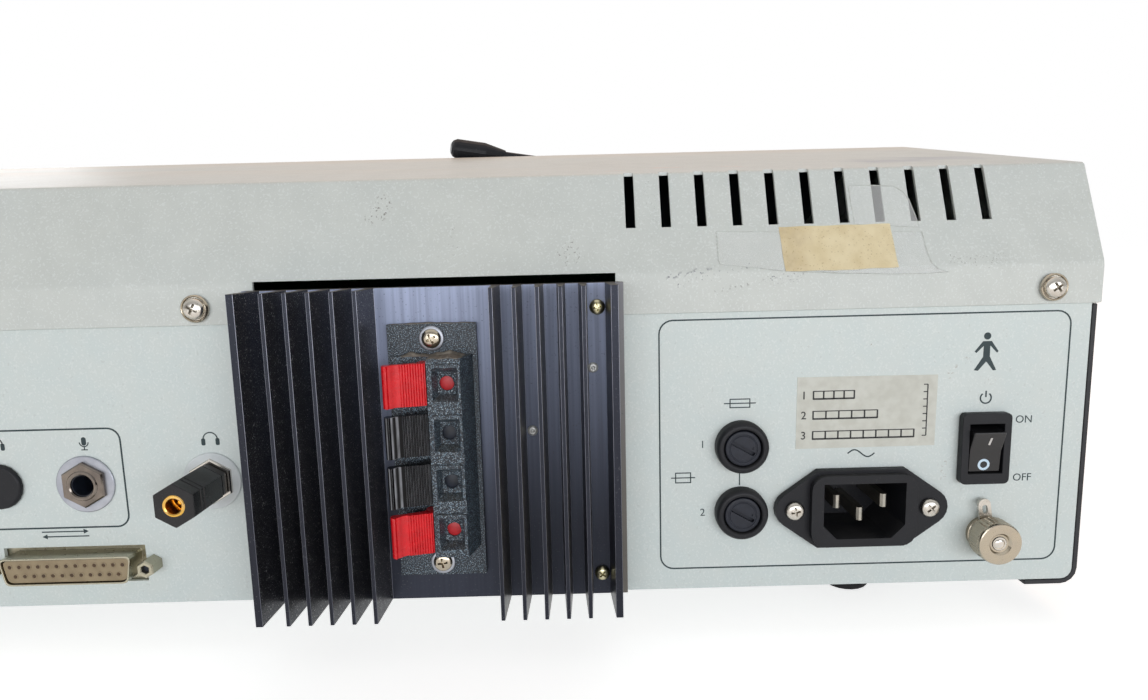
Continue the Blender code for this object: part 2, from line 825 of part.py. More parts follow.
def make_side_panel(name, side):
    outer = lower_corner(0.0)
    inner = lower_corner(side_sheet)
    top = deck_z + seam_height - gap
    flange = half_width - side_flange
    points = [(flange, outer[0][1])] + outer + [(half_width, top), (half_width - side_sheet, top)]
    points += list(reversed(inner)) + [(flange, inner[0][1])]
    points = [(side * x, z) for x, z in points]
    panel = piece(name, prism(points, "Y", rear_y, rear_y + shell_depth), BLACK_PAINT)
    above = [(-overrun, seam_at(-overrun) - gap), (shell_depth + overrun, seam_at(shell_depth + overrun) - gap),
             (shell_depth + overrun, ridge_z), (-overrun, ridge_z)]
    carve(panel, prism(world_outline(above), "X", -half_width - overrun, half_width + overrun), "seam")


def make_feet():
    spots = []
    for side in (-1, 1):
        for depth in (foot_rear_inset, shell_depth - foot_front_inset):
            spots.append((side * (half_width - foot_side_inset), depth))
    rounding = (foot_radius - foot_tip_radius) / 2
    profile = [(0, -foot_height), (foot_tip_radius - rounding, -foot_height),
               (foot_tip_radius, -foot_height + rounding), (foot_radius, 0), (0, 0)]
    for number, (x, depth) in enumerate(spots, 1):
        piece("foot_%d" % number, turned(profile, MIDDLE), RUBBER, at(x, depth, -gap), smooth_angle=40)


def sink_outline():
    """Section of the heat sink: across and proud of the panel, with tapered fins."""
    centres = [fin_first + fin_pitch * i for i in range(fin_count - 1)]
    fins = [(c, fin_root, fin_tip) for c in centres]
    fins.append((sink_half_width - sink_side_margin - outer_fin_root / 2, outer_fin_root, outer_fin_tip))
    right = []
    for centre, root, tip in fins:
        outward = (root - tip) / 2
        edge = centre + (outward if centre > centres[-1] else 0)
        right += [(centre - root / 2, sink_face), (edge - tip / 2, sink_proud)]
        right += [(edge + tip / 2, sink_proud), (centre + root / 2, sink_face)]
    right += [(sink_half_width, sink_face), (sink_half_width, sink_rebate_face)]
    right += [(sink_back_half, sink_rebate_face), (sink_back_half, gap)]
    left = [(-x, proud) for x, proud in reversed(right)]
    return left + right


def make_heat_sink():
    middle = from_side(sink_inset)
    points = [(middle + x, rear_y - proud) for x, proud in sink_outline()]
    bottom = deck_z + sink_bottom
    sink = piece("heat_sink", prism(points, "Z", bottom, bottom + sink_height), ANODISED)
    cutters = []
    half_x = terminal_boss_half_width + gap
    half_z = terminal_boss_half_height + gap
    low = at(from_side(terminal_inset) - half_x, -sink_proud, terminal_height - half_z)
    high = at(from_side(terminal_inset) + half_x, overrun, terminal_height + half_z)
    cutters.append(block(low, high))
    for side in (-1, 1):
        height = sink_middle + side * sink_screw_spread
        outline = circle(sink_screw_radius + gap, SMALL, (middle + sink_screw_offset, deck_z + height))
        cutters.append(prism(outline, "Y", rear_y - sink_proud, rear_y + overrun))
        outline = circle(small_screw_radius + gap, SMALL,
                         (from_side(terminal_inset), deck_z + terminal_height + side * terminal_screw_spread))
        cutters.append(prism(outline, "Y", rear_y - sink_proud, rear_y + overrun))
    carve(sink, together(cutters), "openings")
    for label, side in (("lower", -1), ("upper", 1)):
        height = sink_middle + side * sink_screw_spread
        pan_screw("sink_screw_" + label, (middle + sink_screw_offset, height), sink_face,
                  sink_screw_radius, sink_screw_head, small_head_height)


def cell_height(index):
    """Height of one way of the speaker terminal, counted from the top."""
    return terminal_height + terminal_cell * ((terminal_cells - 1) / 2 - index)


def make_speaker_terminal():
    middle = from_side(terminal_inset)
    low = at(middle - terminal_plate_width / 2, -terminal_face, terminal_height - terminal_plate_height / 2)
    high = at(middle + terminal_plate_width / 2, -(sink_face + gap), terminal_height + terminal_plate_height / 2)
    terminal = piece("speaker_terminal", block(low, high), TEXTURED_PLASTIC)
    half = terminal_cell * terminal_cells / 2
    embed = terminal_plate_sheet / 2
    left = middle - terminal_block_left
    right = middle + terminal_block_right
    root = rear_y - terminal_face + embed
    front = rear_y - terminal_front
    points = [(left, root), (left, front), (right - terminal_block_lean, front), (right, root)]
    floor = deck_z + terminal_height - half
    fuse(terminal, prism(points, "Z", floor, floor + 2 * half), "block")
    shelf_low = at(middle - terminal_shelf_left, -(terminal_face + terminal_shelf_proud), terminal_height - half)
    shelf_high = at(middle + embed, -(terminal_face - embed), terminal_height + half)
    fuse(terminal, block(shelf_low, shelf_high), "shelf")
    boss_low = at(middle - terminal_boss_half_width, -(sink_face + gap + embed),
                  terminal_height - terminal_boss_half_height)
    boss_high = at(middle + terminal_boss_half_width, terminal_boss_depth,
                   terminal_height + terminal_boss_half_height)
    fuse(terminal, block(boss_low, boss_high), "boss")
    cutters = []
    across = middle + funnel_offset
    for i in range(terminal_cells):
        mouth = (funnel_width / 2, funnel_height / 2)
        slope = (1 - funnel_floor_share) / funnel_depth
        wide = 1 + slope * overrun
        bottom = (mouth[0] * funnel_floor_share, mouth[1] * funnel_floor_share)
        top = (mouth[0] * wide, mouth[1] * wide)
        cutters.append(taper(top, bottom, front - overrun, front + funnel_depth,
                             (across, deck_z + cell_height(i))))
    for side in (-1, 1):
        outline = circle(small_screw_radius + gap, SMALL,
                         (middle, deck_z + terminal_height + side * terminal_screw_spread))
        cutters.append(prism(outline, "Y", rear_y - terminal_front, rear_y))
    carve(terminal, together(cutters), "holes")
    for label, side in (("lower", -1), ("upper", 1)):
        pan_screw("terminal_screw_" + label, (middle, terminal_height + side * terminal_screw_spread),
                  terminal_face, small_screw_radius, small_screw_head, small_head_height)


def lever_outline():
    """Section of a lever about its hinge axis: nose to the left, front towards the viewer."""
    ribs = []
    start = -lever_eye
    run = (lever_length - lever_nose - lever_eye) / lever_rib_count
    for i in range(lever_rib_count):
        share = i / lever_rib_count
        front = -(lever_front + lever_rise * share)
        ribs += [(start - run * i, front), (start - run * (i + 0.7), front - lever_rib_depth)]
    nose_x = -lever_length
    nose_y = -(lever_front + lever_rise)
    nose = [(nose_x + lever_nose * math.cos(a), nose_y + lever_nose * math.sin(a))
            for a in (math.radians(-40 - 25 * i) for i in range(9))]
    back = [(-lever_eye, -(lever_front - lever_thickness)), (-lever_eye, -lever_back)]
    eye = [(lever_eye * math.cos(a), lever_eye * math.sin(a)) for a in (math.radians(220 - 40 * i) for i in range(6))]
    front_edge = [(lever_eye, -lever_front)]
    return front_edge + ribs + nose + back + eye


def make_levers():
    x = from_side(terminal_inset) - terminal_block_left - gap - lever_eye
    looks = (RED_PLASTIC, BLACK_PLASTIC, BLACK_PLASTIC, RED_PLASTIC)
    for i, look in enumerate(looks):
        shape = prism(lever_outline(), "Z", -lever_height / 2, lever_height / 2)
        where = at(x, -lever_axis_depth, cell_height(i))
        piece("terminal_lever_%d" % (i + 1), shape, look, where)


def make_fuse_holders():
    for label, height in zip(("upper", "lower"), fuse_heights):
        where = at(from_side(fuse_inset), -gap, height)
        back = -(fuse_barrel_length + gap)
        profile = [
            (0, back), (fuse_barrel_inner + fuse_wall, back), (fuse_barrel_inner + fuse_wall, back + fuse_wall),
            (fuse_barrel_radius, back + fuse_wall), (fuse_barrel_radius, 0), (fuse_flange_radius, 0),
            (fuse_flange_radius, fuse_proud - fuse_wall), (fuse_flange_radius - fuse_wall, fuse_proud),
            (fuse_bore_radius, fuse_proud), (fuse_bore_radius, fuse_proud - fuse_bore_depth),
            (fuse_barrel_inner, fuse_proud - fuse_bore_depth), (fuse_barrel_inner, back + fuse_wall),
            (0, back + fuse_wall),
        ]
        piece("fuse_holder_" + label, turned(profile, MIDDLE), BLACK_PLASTIC, where, OUT_OF_PANEL, 35)
        top = fuse_proud - fuse_cap_recess
        cap_profile = [
            (0, top - fuse_cap_length), (fuse_cap_radius, top - fuse_cap_length),
            (fuse_cap_radius, top - fuse_slot_depth / 2), (fuse_cap_radius - fuse_slot_depth / 2, top), (0, top),
        ]
        cap = piece("fuse_cap_" + label, turned(cap_profile, MIDDLE), BLACK_PLASTIC, where, OUT_OF_PANEL, 35)
        slot = block((-fuse_slot_length / 2, -fuse_slot_width / 2, top - fuse_slot_depth),
                     (fuse_slot_length / 2, fuse_slot_width / 2, top + overrun))
        carve(cap, moved(slot, (0, 0, 0), (0, 0, fuse_slot_turn)), "slot")


def inlet_flange_outline(x, z):
    """Flat top and bottom, with slopes down to a round ear at each screw."""
    points = []
    for side in (1, -1):
        centre = side * inlet_screw_spread
        run = inlet_screw_spread - inlet_flange_flat
        rise = inlet_flange_half_height
        reach = math.hypot(run, rise)
        lean = math.atan2(rise, run) + math.acos(inlet_ear_radius / reach)
        lean = math.pi - lean
        first = side * inlet_flange_flat
        points.append((x + first, z - side * inlet_flange_half_height))
        for step in range(7):
            angle = lean * (2 * step / 6 - 1)
            points.append((x + centre + side * inlet_ear_radius * math.cos(angle),
                           z + side * inlet_ear_radius * math.sin(angle)))
        points.append((x + first, z + side * inlet_flange_half_height))
    return points


def make_mains_inlet():
    x = from_side(inlet_inset)
    z = deck_z + inlet_height
    face = rear_y - gap
    flange = prism(inlet_flange_outline(x, z), "Y", face - inlet_flange_sheet, face)
    inlet = piece("mains_inlet", flange, BLACK_PLASTIC)
    rim = rounded(inlet_rim_half_width, inlet_rim_half_height, inlet_rim_corner, (x, z))
    fuse(inlet, prism(rim, "Y", face - inlet_rim_proud, face - inlet_flange_sheet / 2), "rim")
    low = at(x - inlet_body_half_width, -(gap + inlet_flange_sheet / 2), inlet_height - inlet_body_half_height)
    high = at(x + inlet_body_half_width, inlet_body_depth, inlet_height + inlet_body_half_height)
    fuse(inlet, block(low, high), "body")
    half_x = inlet_cavity_half_width
    half_z = inlet_cavity_half_height
    chamfer = inlet_cavity_chamfer
    cavity = [(x - half_x, z + half_z), (x + half_x, z + half_z), (x + half_x, z - half_z + chamfer),
              (x + half_x - chamfer, z - half_z), (x - half_x + chamfer, z - half_z), (x - half_x, z - half_z + chamfer)]
    floor = rear_y + inlet_cavity_depth
    cutters = [prism(cavity, "Y", face - inlet_rim_proud - overrun, floor)]
    for side in (-1, 1):
        outline = circle(small_screw_radius + gap, SMALL, (x + side * inlet_screw_spread, z))
        cutters.append(prism(outline, "Y", face - inlet_flange_sheet - overrun, face + overrun))
    carve(inlet, together(cutters), "cavity")
    places = (("line", -blade_side_offset, blade_offset), ("neutral", blade_side_offset, blade_offset),
              ("earth", 0.0, -blade_offset))
    for label, across, rise in places:
        half_t = blade_thickness / 2
        tip = floor - gap - blade_length
        outline = [(-half_t, floor - gap), (half_t, floor - gap), (half_t, tip + blade_tip),
                   (half_t - blade_tip, tip), (-half_t + blade_tip, tip), (-half_t, tip + blade_tip)]
        outline = [(x + across + u, v) for u, v in outline]
        bottom = z + rise - blade_height / 2
        piece("inlet_blade_" + label, prism(outline, "Z", bottom, bottom + blade_height), NICKEL)
    for label, side in (("left", -1), ("right", 1)):
        pan_screw("inlet_screw_" + label, (x + side * inlet_screw_spread, inlet_height), gap + inlet_flange_sheet,
                  small_screw_radius, small_screw_head, small_head_height)


def make_switch():
    x = from_side(switch_inset)
    z = deck_z + switch_height
    face = rear_y - gap
    bezel = piece("switch_bezel",
                  prism(rounded(switch_half_width, switch_half_height, side_sheet, (x, z)), "Y",
                        face - switch_bezel_proud, face), BLACK_PLASTIC)
    low = at(x - switch_body_half_width, -(gap + switch_bezel_proud / 2), switch_height - switch_body_half_height)
    high = at(x + switch_body_half_width, switch_body_depth, switch_height + switch_body_half_height)
    fuse(bezel, block(low, high), "body")
    low = at(x - switch_window_half_width, -(switch_bezel_proud + overrun), switch_height - switch_window_half_height)
    high = at(x + switch_window_half_width, switch_well_depth, switch_height + switch_window_half_height)
    carve(bezel, block(low, high), "well")
    front = []
    for i in range(9):
        share = i / 4 - 1
        height = share * rocker_radius
        front.append((-(rocker_front - rocker_dish * (1 - abs(share))), height))
    back = [(rocker_back * 0.3, rocker_radius), (rocker_back, rocker_radius * 0.35),
            (rocker_back, -rocker_radius * 0.35), (rocker_back * 0.3, -rocker_radius)]
    shape = prism(front + back, "X", -rocker_half_width, rocker_half_width)
    piece("power_rocker", shape, BLACK_PLASTIC, at(x, rocker_axis_depth, switch_height), (rocker_tilt, 0, 0), 30)


def make_ground_post():
    x = from_side(ground_inset)
    where = at(x, -gap, ground_height)
    stud = [(0, -ground_stud_depth), (ground_stud_radius, -ground_stud_depth), (ground_stud_radius, 0),
            (ground_flange_radius, 0), (ground_flange_radius, ground_flange_sheet),
            (ground_stud_radius, ground_flange_sheet), (ground_stud_radius, ground_stud_proud),
            (0, ground_stud_proud)]
    piece("ground_stud", turned(stud, MIDDLE), NICKEL, where, OUT_OF_PANEL, 35)
    lug_face = ground_flange_sheet + gap
    half = ground_lug_width / 2
    opening = math.asin(half / ground_lug_eye_radius)
    sweep = 2 * (math.pi - opening)
    eye_angles = [math.pi / 2 + opening + sweep * i / SMALL for i in range(SMALL + 1)]
    eye = [(ground_lug_eye_radius * math.cos(a), ground_lug_eye_radius * math.sin(a)) for a in eye_angles]
    end = ground_lug_length - half
    top = [(half * math.cos(a), end + half * math.sin(a)) for a in (math.pi * i / 8 for i in range(9))]
    lug = piece("ground_lug", prism(eye + top, "Z", lug_face, lug_face + ground_lug_sheet), NICKEL,
                where, (math.pi / 2, -ground_lug_lean, 0))
    hole = prism(circle(ground_stud_radius + gap, MIDDLE), "Z", -overrun, lug_face + overrun)
    slot_low = end - ground_lug_slot_length / 2
    slot = rounded(ground_lug_slot_width / 2, ground_lug_slot_length / 2, ground_lug_slot_width / 2 * 0.98,
                   (0, slot_low))
    carve(lug, together([hole, prism(slot, "Z", -overrun, lug_face + overrun)]), "holes")
    start = lug_face + ground_lug_sheet + gap
    outline = []
    for i in range(ground_nut_knurl_count):
        for shift, depth in ((0.0, 0.0), (0.5, ground_nut_knurl_depth)):
            angle = 2 * math.pi * (i + shift) / ground_nut_knurl_count
            radius = ground_nut_radius - depth
            outline.append((radius * math.cos(angle), radius * math.sin(angle)))
    nut = piece("ground_nut", prism(outline, "Z", start, start + ground_nut_length), NICKEL, where, OUT_OF_PANEL)
    bore = [(0, start - overrun), (ground_stud_radius + gap, start - overrun),
            (ground_stud_radius + gap, start + ground_nut_length - ground_nut_recess_depth),
            (ground_nut_recess, start + ground_nut_length - ground_nut_recess_depth),
            (ground_nut_recess, start + ground_nut_length + overrun), (0, start + ground_nut_length + overrun)]
    carve(nut, turned(bore, MIDDLE), "bore")


def d_outline(x, z, grow, corner):
    """The D shape of the serial socket, wide side up, grown by one distance."""
    half_z = dsub_half_height + grow
    wide = dsub_half_width + grow
    narrow = wide - 2 * half_z * dsub_slope
    corners = [(wide, half_z), (-wide, half_z), (-narrow, -half_z), (narrow, -half_z)]
    points = []
    for i, point in enumerate(corners):
        before = Vector(corners[i - 1]) - Vector(point)
        after = Vector(corners[(i + 1) % 4]) - Vector(point)
        start = Vector(point) + before.normalized() * corner
        end = Vector(point) + after.normalized() * corner
        for step in range(4):
            share = step / 3
            bend = start.lerp(Vector(point), share).lerp(Vector(point).lerp(end, share), share)
            points.append((x + bend.x, z + bend.y))
    return points


def make_serial_socket():
    x = from_side(dsub_inset)
    z = deck_z + dsub_height
    inside = rear_y + panel_sheet + gap
    low = at(x - dsub_flange_half_width, panel_sheet + gap, dsub_height - dsub_flange_half_height)
    high = at(x + dsub_flange_half_width, panel_sheet + gap + dsub_flange_sheet, dsub_height + dsub_flange_half_height)
    shell = piece("serial_shell", block(low, high), NICKEL)
    rim = d_outline(x, z, 0.0, dsub_corner)
    fuse(shell, prism(rim, "Y", rear_y - dsub_proud, inside + dsub_flange_sheet / 2), "rim")
    hollow = prism(d_outline(x, z, -dsub_shell_sheet, dsub_corner), "Y", rear_y - dsub_proud - overrun, inside + overrun)
    cutters = [hollow]
    for side in (-1, 1):
        outline = circle(jackscrew_thread_radius + gap, SMALL, (x + side * jackscrew_spread, z))
        cutters.append(prism(outline, "Y", inside - overrun, inside + overrun))
    carve(shell, together(cutters), "inside")
    core = prism(d_outline(x, z, -dsub_shell_sheet - gap, dsub_corner), "Y",
                 rear_y - dsub_proud + dsub_insert_recess, inside + dsub_body_depth)
    piece("serial_insert", core, TAN_PLASTIC)
    for label, side in (("left", -1), ("right", 1)):
        where = at(x + side * jackscrew_spread, -gap, dsub_height)
        shape = prism(circle(jackscrew_hex_radius, 6, turn=math.radians(90)), "Z", 0.0, jackscrew_length)
        post = piece("serial_jackscrew_" + label, shape, NICKEL, where, OUT_OF_PANEL)
        thread = prism(circle(jackscrew_thread_radius, SMALL), "Z", -screw_grip, jackscrew_length / 2)
        fuse(post, thread, "thread")
        hole = prism(circle(jackscrew_thread_radius, SMALL), "Z", jackscrew_length / 2 + gap, jackscrew_length + overrun)
        carve(post, hole, "hole")


def make_jack(name, inset):
    where = at(from_side(inset), -gap, jack_height)
    shape = turned([
        (0, -jack_body_depth), (jack_body_radius, -jack_body_depth), (jack_body_radius, -(panel_sheet + gap + gap)),
        (jack_bush_radius, -(panel_sheet + gap + gap)), (jack_bush_radius, 0), (jack_washer_radius, 0),
        (jack_washer_radius, jack_washer_sheet), (jack_bush_radius, jack_washer_sheet),
        (jack_bush_radius, jack_washer_sheet + jack_nut_length / 2),
        (0, jack_washer_sheet + jack_nut_length / 2)], MIDDLE)
    jack = piece(name, shape, NICKEL, where, OUT_OF_PANEL, 35)
    nut = prism(circle(jack_nut_radius, 6, turn=math.pi / 2), "Z", jack_washer_sheet / 2, jack_face)
    fuse(jack, nut, "nut")
    bore = circle(jack_bore_radius, MIDDLE)
    carve(jack, prism(bore, "Z", -jack_bore_depth, jack_face + overrun), "bore")


def make_monitor_adapter():
    where = at(from_side(monitor_inset), -gap, jack_height)
    rear = jack_face + gap
    front = adapter_reach - gap
    body = prism(circle(adapter_radius, adapter_side_count, turn=math.radians(90)), "Z", rear, front)
    adapter = piece("monitor_adapter", body, BLACK_PLASTIC, where, OUT_OF_PANEL)
    plug = turned([(0, -adapter_plug_length), (adapter_plug_radius * 0.35, -adapter_plug_length),
                   (adapter_plug_radius * 0.85, -adapter_plug_length * 0.93),
                   (adapter_plug_radius * 0.6, -adapter_plug_length * 0.84),
                   (adapter_plug_radius, -adapter_plug_length * 0.8), (adapter_plug_radius, rear + gap),
                   (0, rear + gap)], MIDDLE)
    fuse(adapter, plug, "plug")
    mouth = prism(circle(adapter_mouth_radius, MIDDLE), "Z", front - adapter_mouth_depth, front + overrun)
    carve(adapter, mouth, "mouth")


def socket_place(index):
    return from_side(socket_first_inset + socket_pitch * index)


def make_left_sockets():
    where = at(from_side(blank_inset), -gap, jack_height)
    blank = turned([(0, -blank_barrel_depth), (blank_barrel_radius, -blank_barrel_depth), (blank_barrel_radius, 0),
                    (blank_radius, 0), (blank_radius, blank_proud * 0.6), (blank_radius * 0.92, blank_proud),
                    (0, blank_proud)], MIDDLE)
    piece("blank_plug", blank, BLACK_PLASTIC, where, OUT_OF_PANEL, 35)
    margin = socket_block_margin
    low = at(socket_place(socket_count - 1) - margin, panel_sheet + gap, jack_height - socket_block_half_height)
    high = at(socket_place(0) + margin, socket_block_depth, jack_height + socket_block_half_height)
    row = piece("socket_row", block(low, high), BLACK_PLASTIC)
    collars = []
    bores = []
    for i in range(socket_count):
        collar = prism(circle(socket_collar_radius, MIDDLE, (socket_place(i), deck_z + jack_height)), "Y",
                       rear_y - socket_collar_proud, rear_y + panel_sheet + gap + overrun)
        collars.append(collar)
        bore = prism(circle(jack_bore_radius, MIDDLE, (socket_place(i), deck_z + jack_height)), "Y",
                     rear_y - socket_collar_proud - overrun, rear_y + socket_block_depth - overrun)
        bores.append(bore)
    fuse(row, together(collars), "collars")
    carve(row, together(bores), "bores")


def make_cover_screws():
    for label, x in zip(("left", "middle", "right"), cover_screw_places()):
        pan_screw("cover_screw_" + label, (x, cover_screw_height), cover_sheet + gap, cover_screw_radius,
                  cover_screw_head, screw_head_height, cover_screw_washer)


def make_operator_panel():
    half_x = fascia_half_width
    length = slope_length - fascia_ridge_inset - fascia_front_inset
    middle = fascia_ridge_inset + length / 2
    shape = prism(rounded(half_x, length / 2, fascia_corner), "Z", gap, fascia_top)
    fascia = piece("operator_panel", shape, FASCIA_FILM, on_slope(0, middle, 0), OUT_OF_SLOPE)

    def through(outline):
        return prism(outline, "Z", -overrun, fascia_top + overrun)

    cutters = [through(rounded(display_width / 2 + gap, display_height / 2 + gap, display_corner,
                               (0, display_down + display_height / 2 - middle)))]
    for side in (-1, 1):
        cutters.append(through(circle(shaft_radius + shaft_clearance, MIDDLE, (side * dial_across, dial_down - middle))))
        cutters.append(through(rounded(key_width / 2 + gap, key_height / 2 + gap, key_corner,
                                       (side * key_across, key_down - middle))))
    boss = circle(stem_plug_radius + gap, MIDDLE, (microphone_across, microphone_down - middle))
    cutters.append(through(boss))
    carve(fascia, together(cutters), "openings")


def make_display():
    centre = display_down + display_height / 2
    window = prism(rounded(display_width / 2, display_height / 2, display_corner), "Z",
                   fascia_top - display_window_sheet, fascia_top)
    piece("display_window", window, GLASS, on_slope(0, centre, 0), OUT_OF_SLOPE)
    top = fascia_top - display_window_sheet - gap
    half_x = display_width / 2 + display_bezel
    half_y = display_height / 2 + display_bezel
    floor = -display_module_depth
    module = piece("display_module", block((-half_x, -half_y, floor), (half_x, half_y, 0.0)), MODULE_METAL,
                   on_slope(0, centre, 0), OUT_OF_SLOPE)
    step = prism(rounded(display_width / 2 - gap, display_height / 2 - gap, display_corner), "Z", floor / 2, top)
    fuse(module, step, "screen")


def make_dials():
    steps = [(dial_skirt_radius, fascia_top + gap), (dial_skirt_radius, fascia_top + gap + dial_skirt_height * 0.5),
             (dial_grip_radius + dial_flute_depth, fascia_top + gap + dial_skirt_height)]
    for label, side in (("left", -1), ("right", 1)):
        profile = [(0, -shaft_length), (shaft_radius, -shaft_length), (shaft_radius, fascia_top + gap)]
        profile += steps + [(0, fascia_top + gap + dial_skirt_height)]
        dial = piece("level_dial_" + label, turned(profile, LARGE), BLACK_PLASTIC,
                     on_slope(side * dial_across, dial_down, 0), OUT_OF_SLOPE, 35)
        grip = grip_shape(dial_grip_radius, dial_grip_tip_radius, fascia_top + dial_skirt_height / 2,
                          fascia_top + dial_height, dial_flute_count, dial_flute_depth)
        fuse(dial, grip, "grip")


def grip_shape(low_radius, high_radius, low, high, flutes, depth):
    """A fluted, slightly tapered finger grip."""
    shape = bmesh.new()
    rings = []
    for radius, level in ((low_radius, low), (high_radius, high - depth), (high_radius - 2 * depth, high)):
        ring = []
        for i in range(flutes * 2):
            cut = depth * (i % 2)
            angle = math.pi * i / flutes
            ring.append(shape.verts.new(((radius - cut) * math.cos(angle), (radius - cut) * math.sin(angle), level)))
        rings.append(ring)
    shape.faces.new(rings[0])
    shape.faces.new(rings[-1])
    for lower, upper in zip(rings, rings[1:]):
        for i in range(flutes * 2):
            j = (i + 1) % (flutes * 2)
            shape.faces.new((lower[i], lower[j], upper[j], upper[i]))
    bmesh.ops.recalc_face_normals(shape, faces=shape.faces)
    return shape


def make_keys():
    for label, side in (("left", -1), ("right", 1)):
        shape = prism(rounded(key_width / 2, key_height / 2, key_corner), "Z", -key_depth, fascia_top + key_proud)
        key = piece("tone_key_" + label, shape, KEY_PLASTIC, on_slope(side * key_across, key_down, 0), OUT_OF_SLOPE)
        bevel = key.modifiers.new("edge", "BEVEL")
        bevel.width = key_bevel
        bevel.segments = key_edge_segment_count
        bevel.limit_method = "ANGLE"
        bevel.angle_limit = math.radians(60)


def stem_route():
    """Points of the stem about its swivel axis: up from the socket, then low along the ridge."""
    top = fascia_top + gap + microphone_boss_height
    points = [Vector((0, 0, top)), Vector((0, 0, top + stem_plug_height))]
    crest = fascia_top + stem_crest
    end = fascia_top + stem_end_height
    for reach_share, rise_share in stem_shares:
        level = end + (crest - end) * rise_share
        points.append(Vector((-stem_swing * reach_share, -stem_ridge_shift * reach_share, level)))
    return points


def smooth_route(points, steps):
    """Catmull-Rom curve through the points."""
    padded = [points[0] * 2 - points[1]] + points + [points[-1] * 2 - points[-2]]
    route = []
    for a, b, c, d in zip(padded, padded[1:], padded[2:], padded[3:]):
        for i in range(steps):
            t = i / steps
            bend = 2 * b + (c - a) * t + (2 * a - 5 * b + 4 * c - d) * t ** 2
            route.append((bend + (3 * b - a - 3 * c + d) * t ** 3) / 2)
    route.append(points[-1])
    return route


def swept(route, radius, sides):
    """A round rod along a route, with flat ends."""
    shape = bmesh.new()
    rings = []
    side = Vector((0, 1, 0))
    for i, point in enumerate(route):
        ahead = route[min(i + 1, len(route) - 1)] - route[max(i - 1, 0)]
        ahead.normalize()
        side = (side - ahead * side.dot(ahead)).normalized()
        other = ahead.cross(side)
        angles = [2 * math.pi * k / sides for k in range(sides)]
        rings.append([shape.verts.new(point + (side * math.cos(a) + other * math.sin(a)) * radius) for a in angles])
    shape.faces.new(rings[0])
    shape.faces.new(rings[-1])
    for lower, upper in zip(rings, rings[1:]):
        for k in range(sides):
            j = (k + 1) % sides
            shape.faces.new((lower[k], lower[j], upper[j], upper[k]))
    bmesh.ops.recalc_face_normals(shape, faces=shape.faces)
    return shape


def make_microphone():
    centre = on_slope(microphone_across, microphone_down, 0)
    base = fascia_top + gap
    ring = turned([
        (stem_plug_radius + gap, base), (microphone_boss_radius, base),
        (microphone_boss_radius, base + microphone_boss_height * 0.6),
        (microphone_boss_radius * 0.85, base + microphone_boss_height),
        (stem_plug_radius + gap, base + microphone_boss_height)], MIDDLE, ring=True)
    piece("microphone_socket", ring, BLACK_PLASTIC, centre, OUT_OF_SLOPE, 35)
    top = base + microphone_boss_height + stem_plug_height
    plug = turned([(0, -microphone_plug_depth), (stem_plug_radius, -microphone_plug_depth),
                   (stem_plug_radius, top - stem_plug_height / 2), (stem_radius * 1.2, top), (0, top)], MIDDLE)
    microphone = piece("talk_microphone", plug, BLACK_PLASTIC, centre, OUT_OF_SLOPE, 35)
    route = smooth_route(stem_route(), 2)
    fuse(microphone, swept(route, stem_radius, SMALL), "stem")
    head_axis = (route[-1] - route[-2]).normalized()
    start = route[-1] - head_axis * stem_radius
    profile = [(0, 0), (stem_radius * 1.3, 0), (microphone_radius, microphone_taper),
               (microphone_radius, microphone_length - microphone_radius * 0.6),
               (microphone_radius * 0.8, microphone_length - microphone_radius * 0.2),
               (microphone_radius * 0.5, microphone_length), (0, microphone_length)]
    head = turned(profile, MIDDLE)
    turn = Vector((0, 0, 1)).rotation_difference(head_axis).to_matrix().to_4x4()
    bmesh.ops.transform(head, matrix=Matrix.Translation(start) @ turn, verts=head.verts)
    fuse(microphone, head, "head")


def make_main_board():
    low = at(board_across - board_half_width, board_rear_inset, tray_sheet + board_post_height + gap)
    high = at(board_across + board_half_width, board_rear_inset + board_depth,
              tray_sheet + board_post_height + gap + board_sheet)
    board = piece("main_board", block(low, high), BOARD)
    parts = []
    for row in range(board_part_row_count):
        for column in range(board_part_column_count):
            x = low.x + (high.x - low.x) * (column + 0.5) / board_part_column_count
            y = low.y + (high.y - low.y) * (row + 0.5) / board_part_row_count
            height = board_part_height * board_part_shares[(row + column) % len(board_part_shares)]
            corner = Vector((board_part_width / 2, board_part_depth / 2, 0))
            base = Vector((x, y, high.z))
            parts.append(block(base - corner - Vector((0, 0, board_sheet / 2)),
                               base + corner + Vector((0, 0, height))))
    fuse(board, together(parts), "parts")


def make_transformer():
    where = at(from_side(transformer_inset), transformer_rear_inset, tray_sheet + gap)
    edge = transformer_round
    top = transformer_height
    profile = [(0, 0), (transformer_radius - edge, 0), (transformer_radius - edge * 0.3, edge * 0.3),
               (transformer_radius, edge), (transformer_radius, top - edge),
               (transformer_radius - edge * 0.3, top - edge * 0.3), (transformer_radius - edge, top),
               (clamp_radius, top), (clamp_radius * 0.9, top + clamp_height),
               (clamp_bolt_head, top + clamp_height), (clamp_bolt_head, top + clamp_height + clamp_bolt_head_height),
               (0, top + clamp_height + clamp_bolt_head_height)]
    piece("mains_transformer", turned(profile, MIDDLE), COPPER_TAPE, where, UPRIGHT, 35)


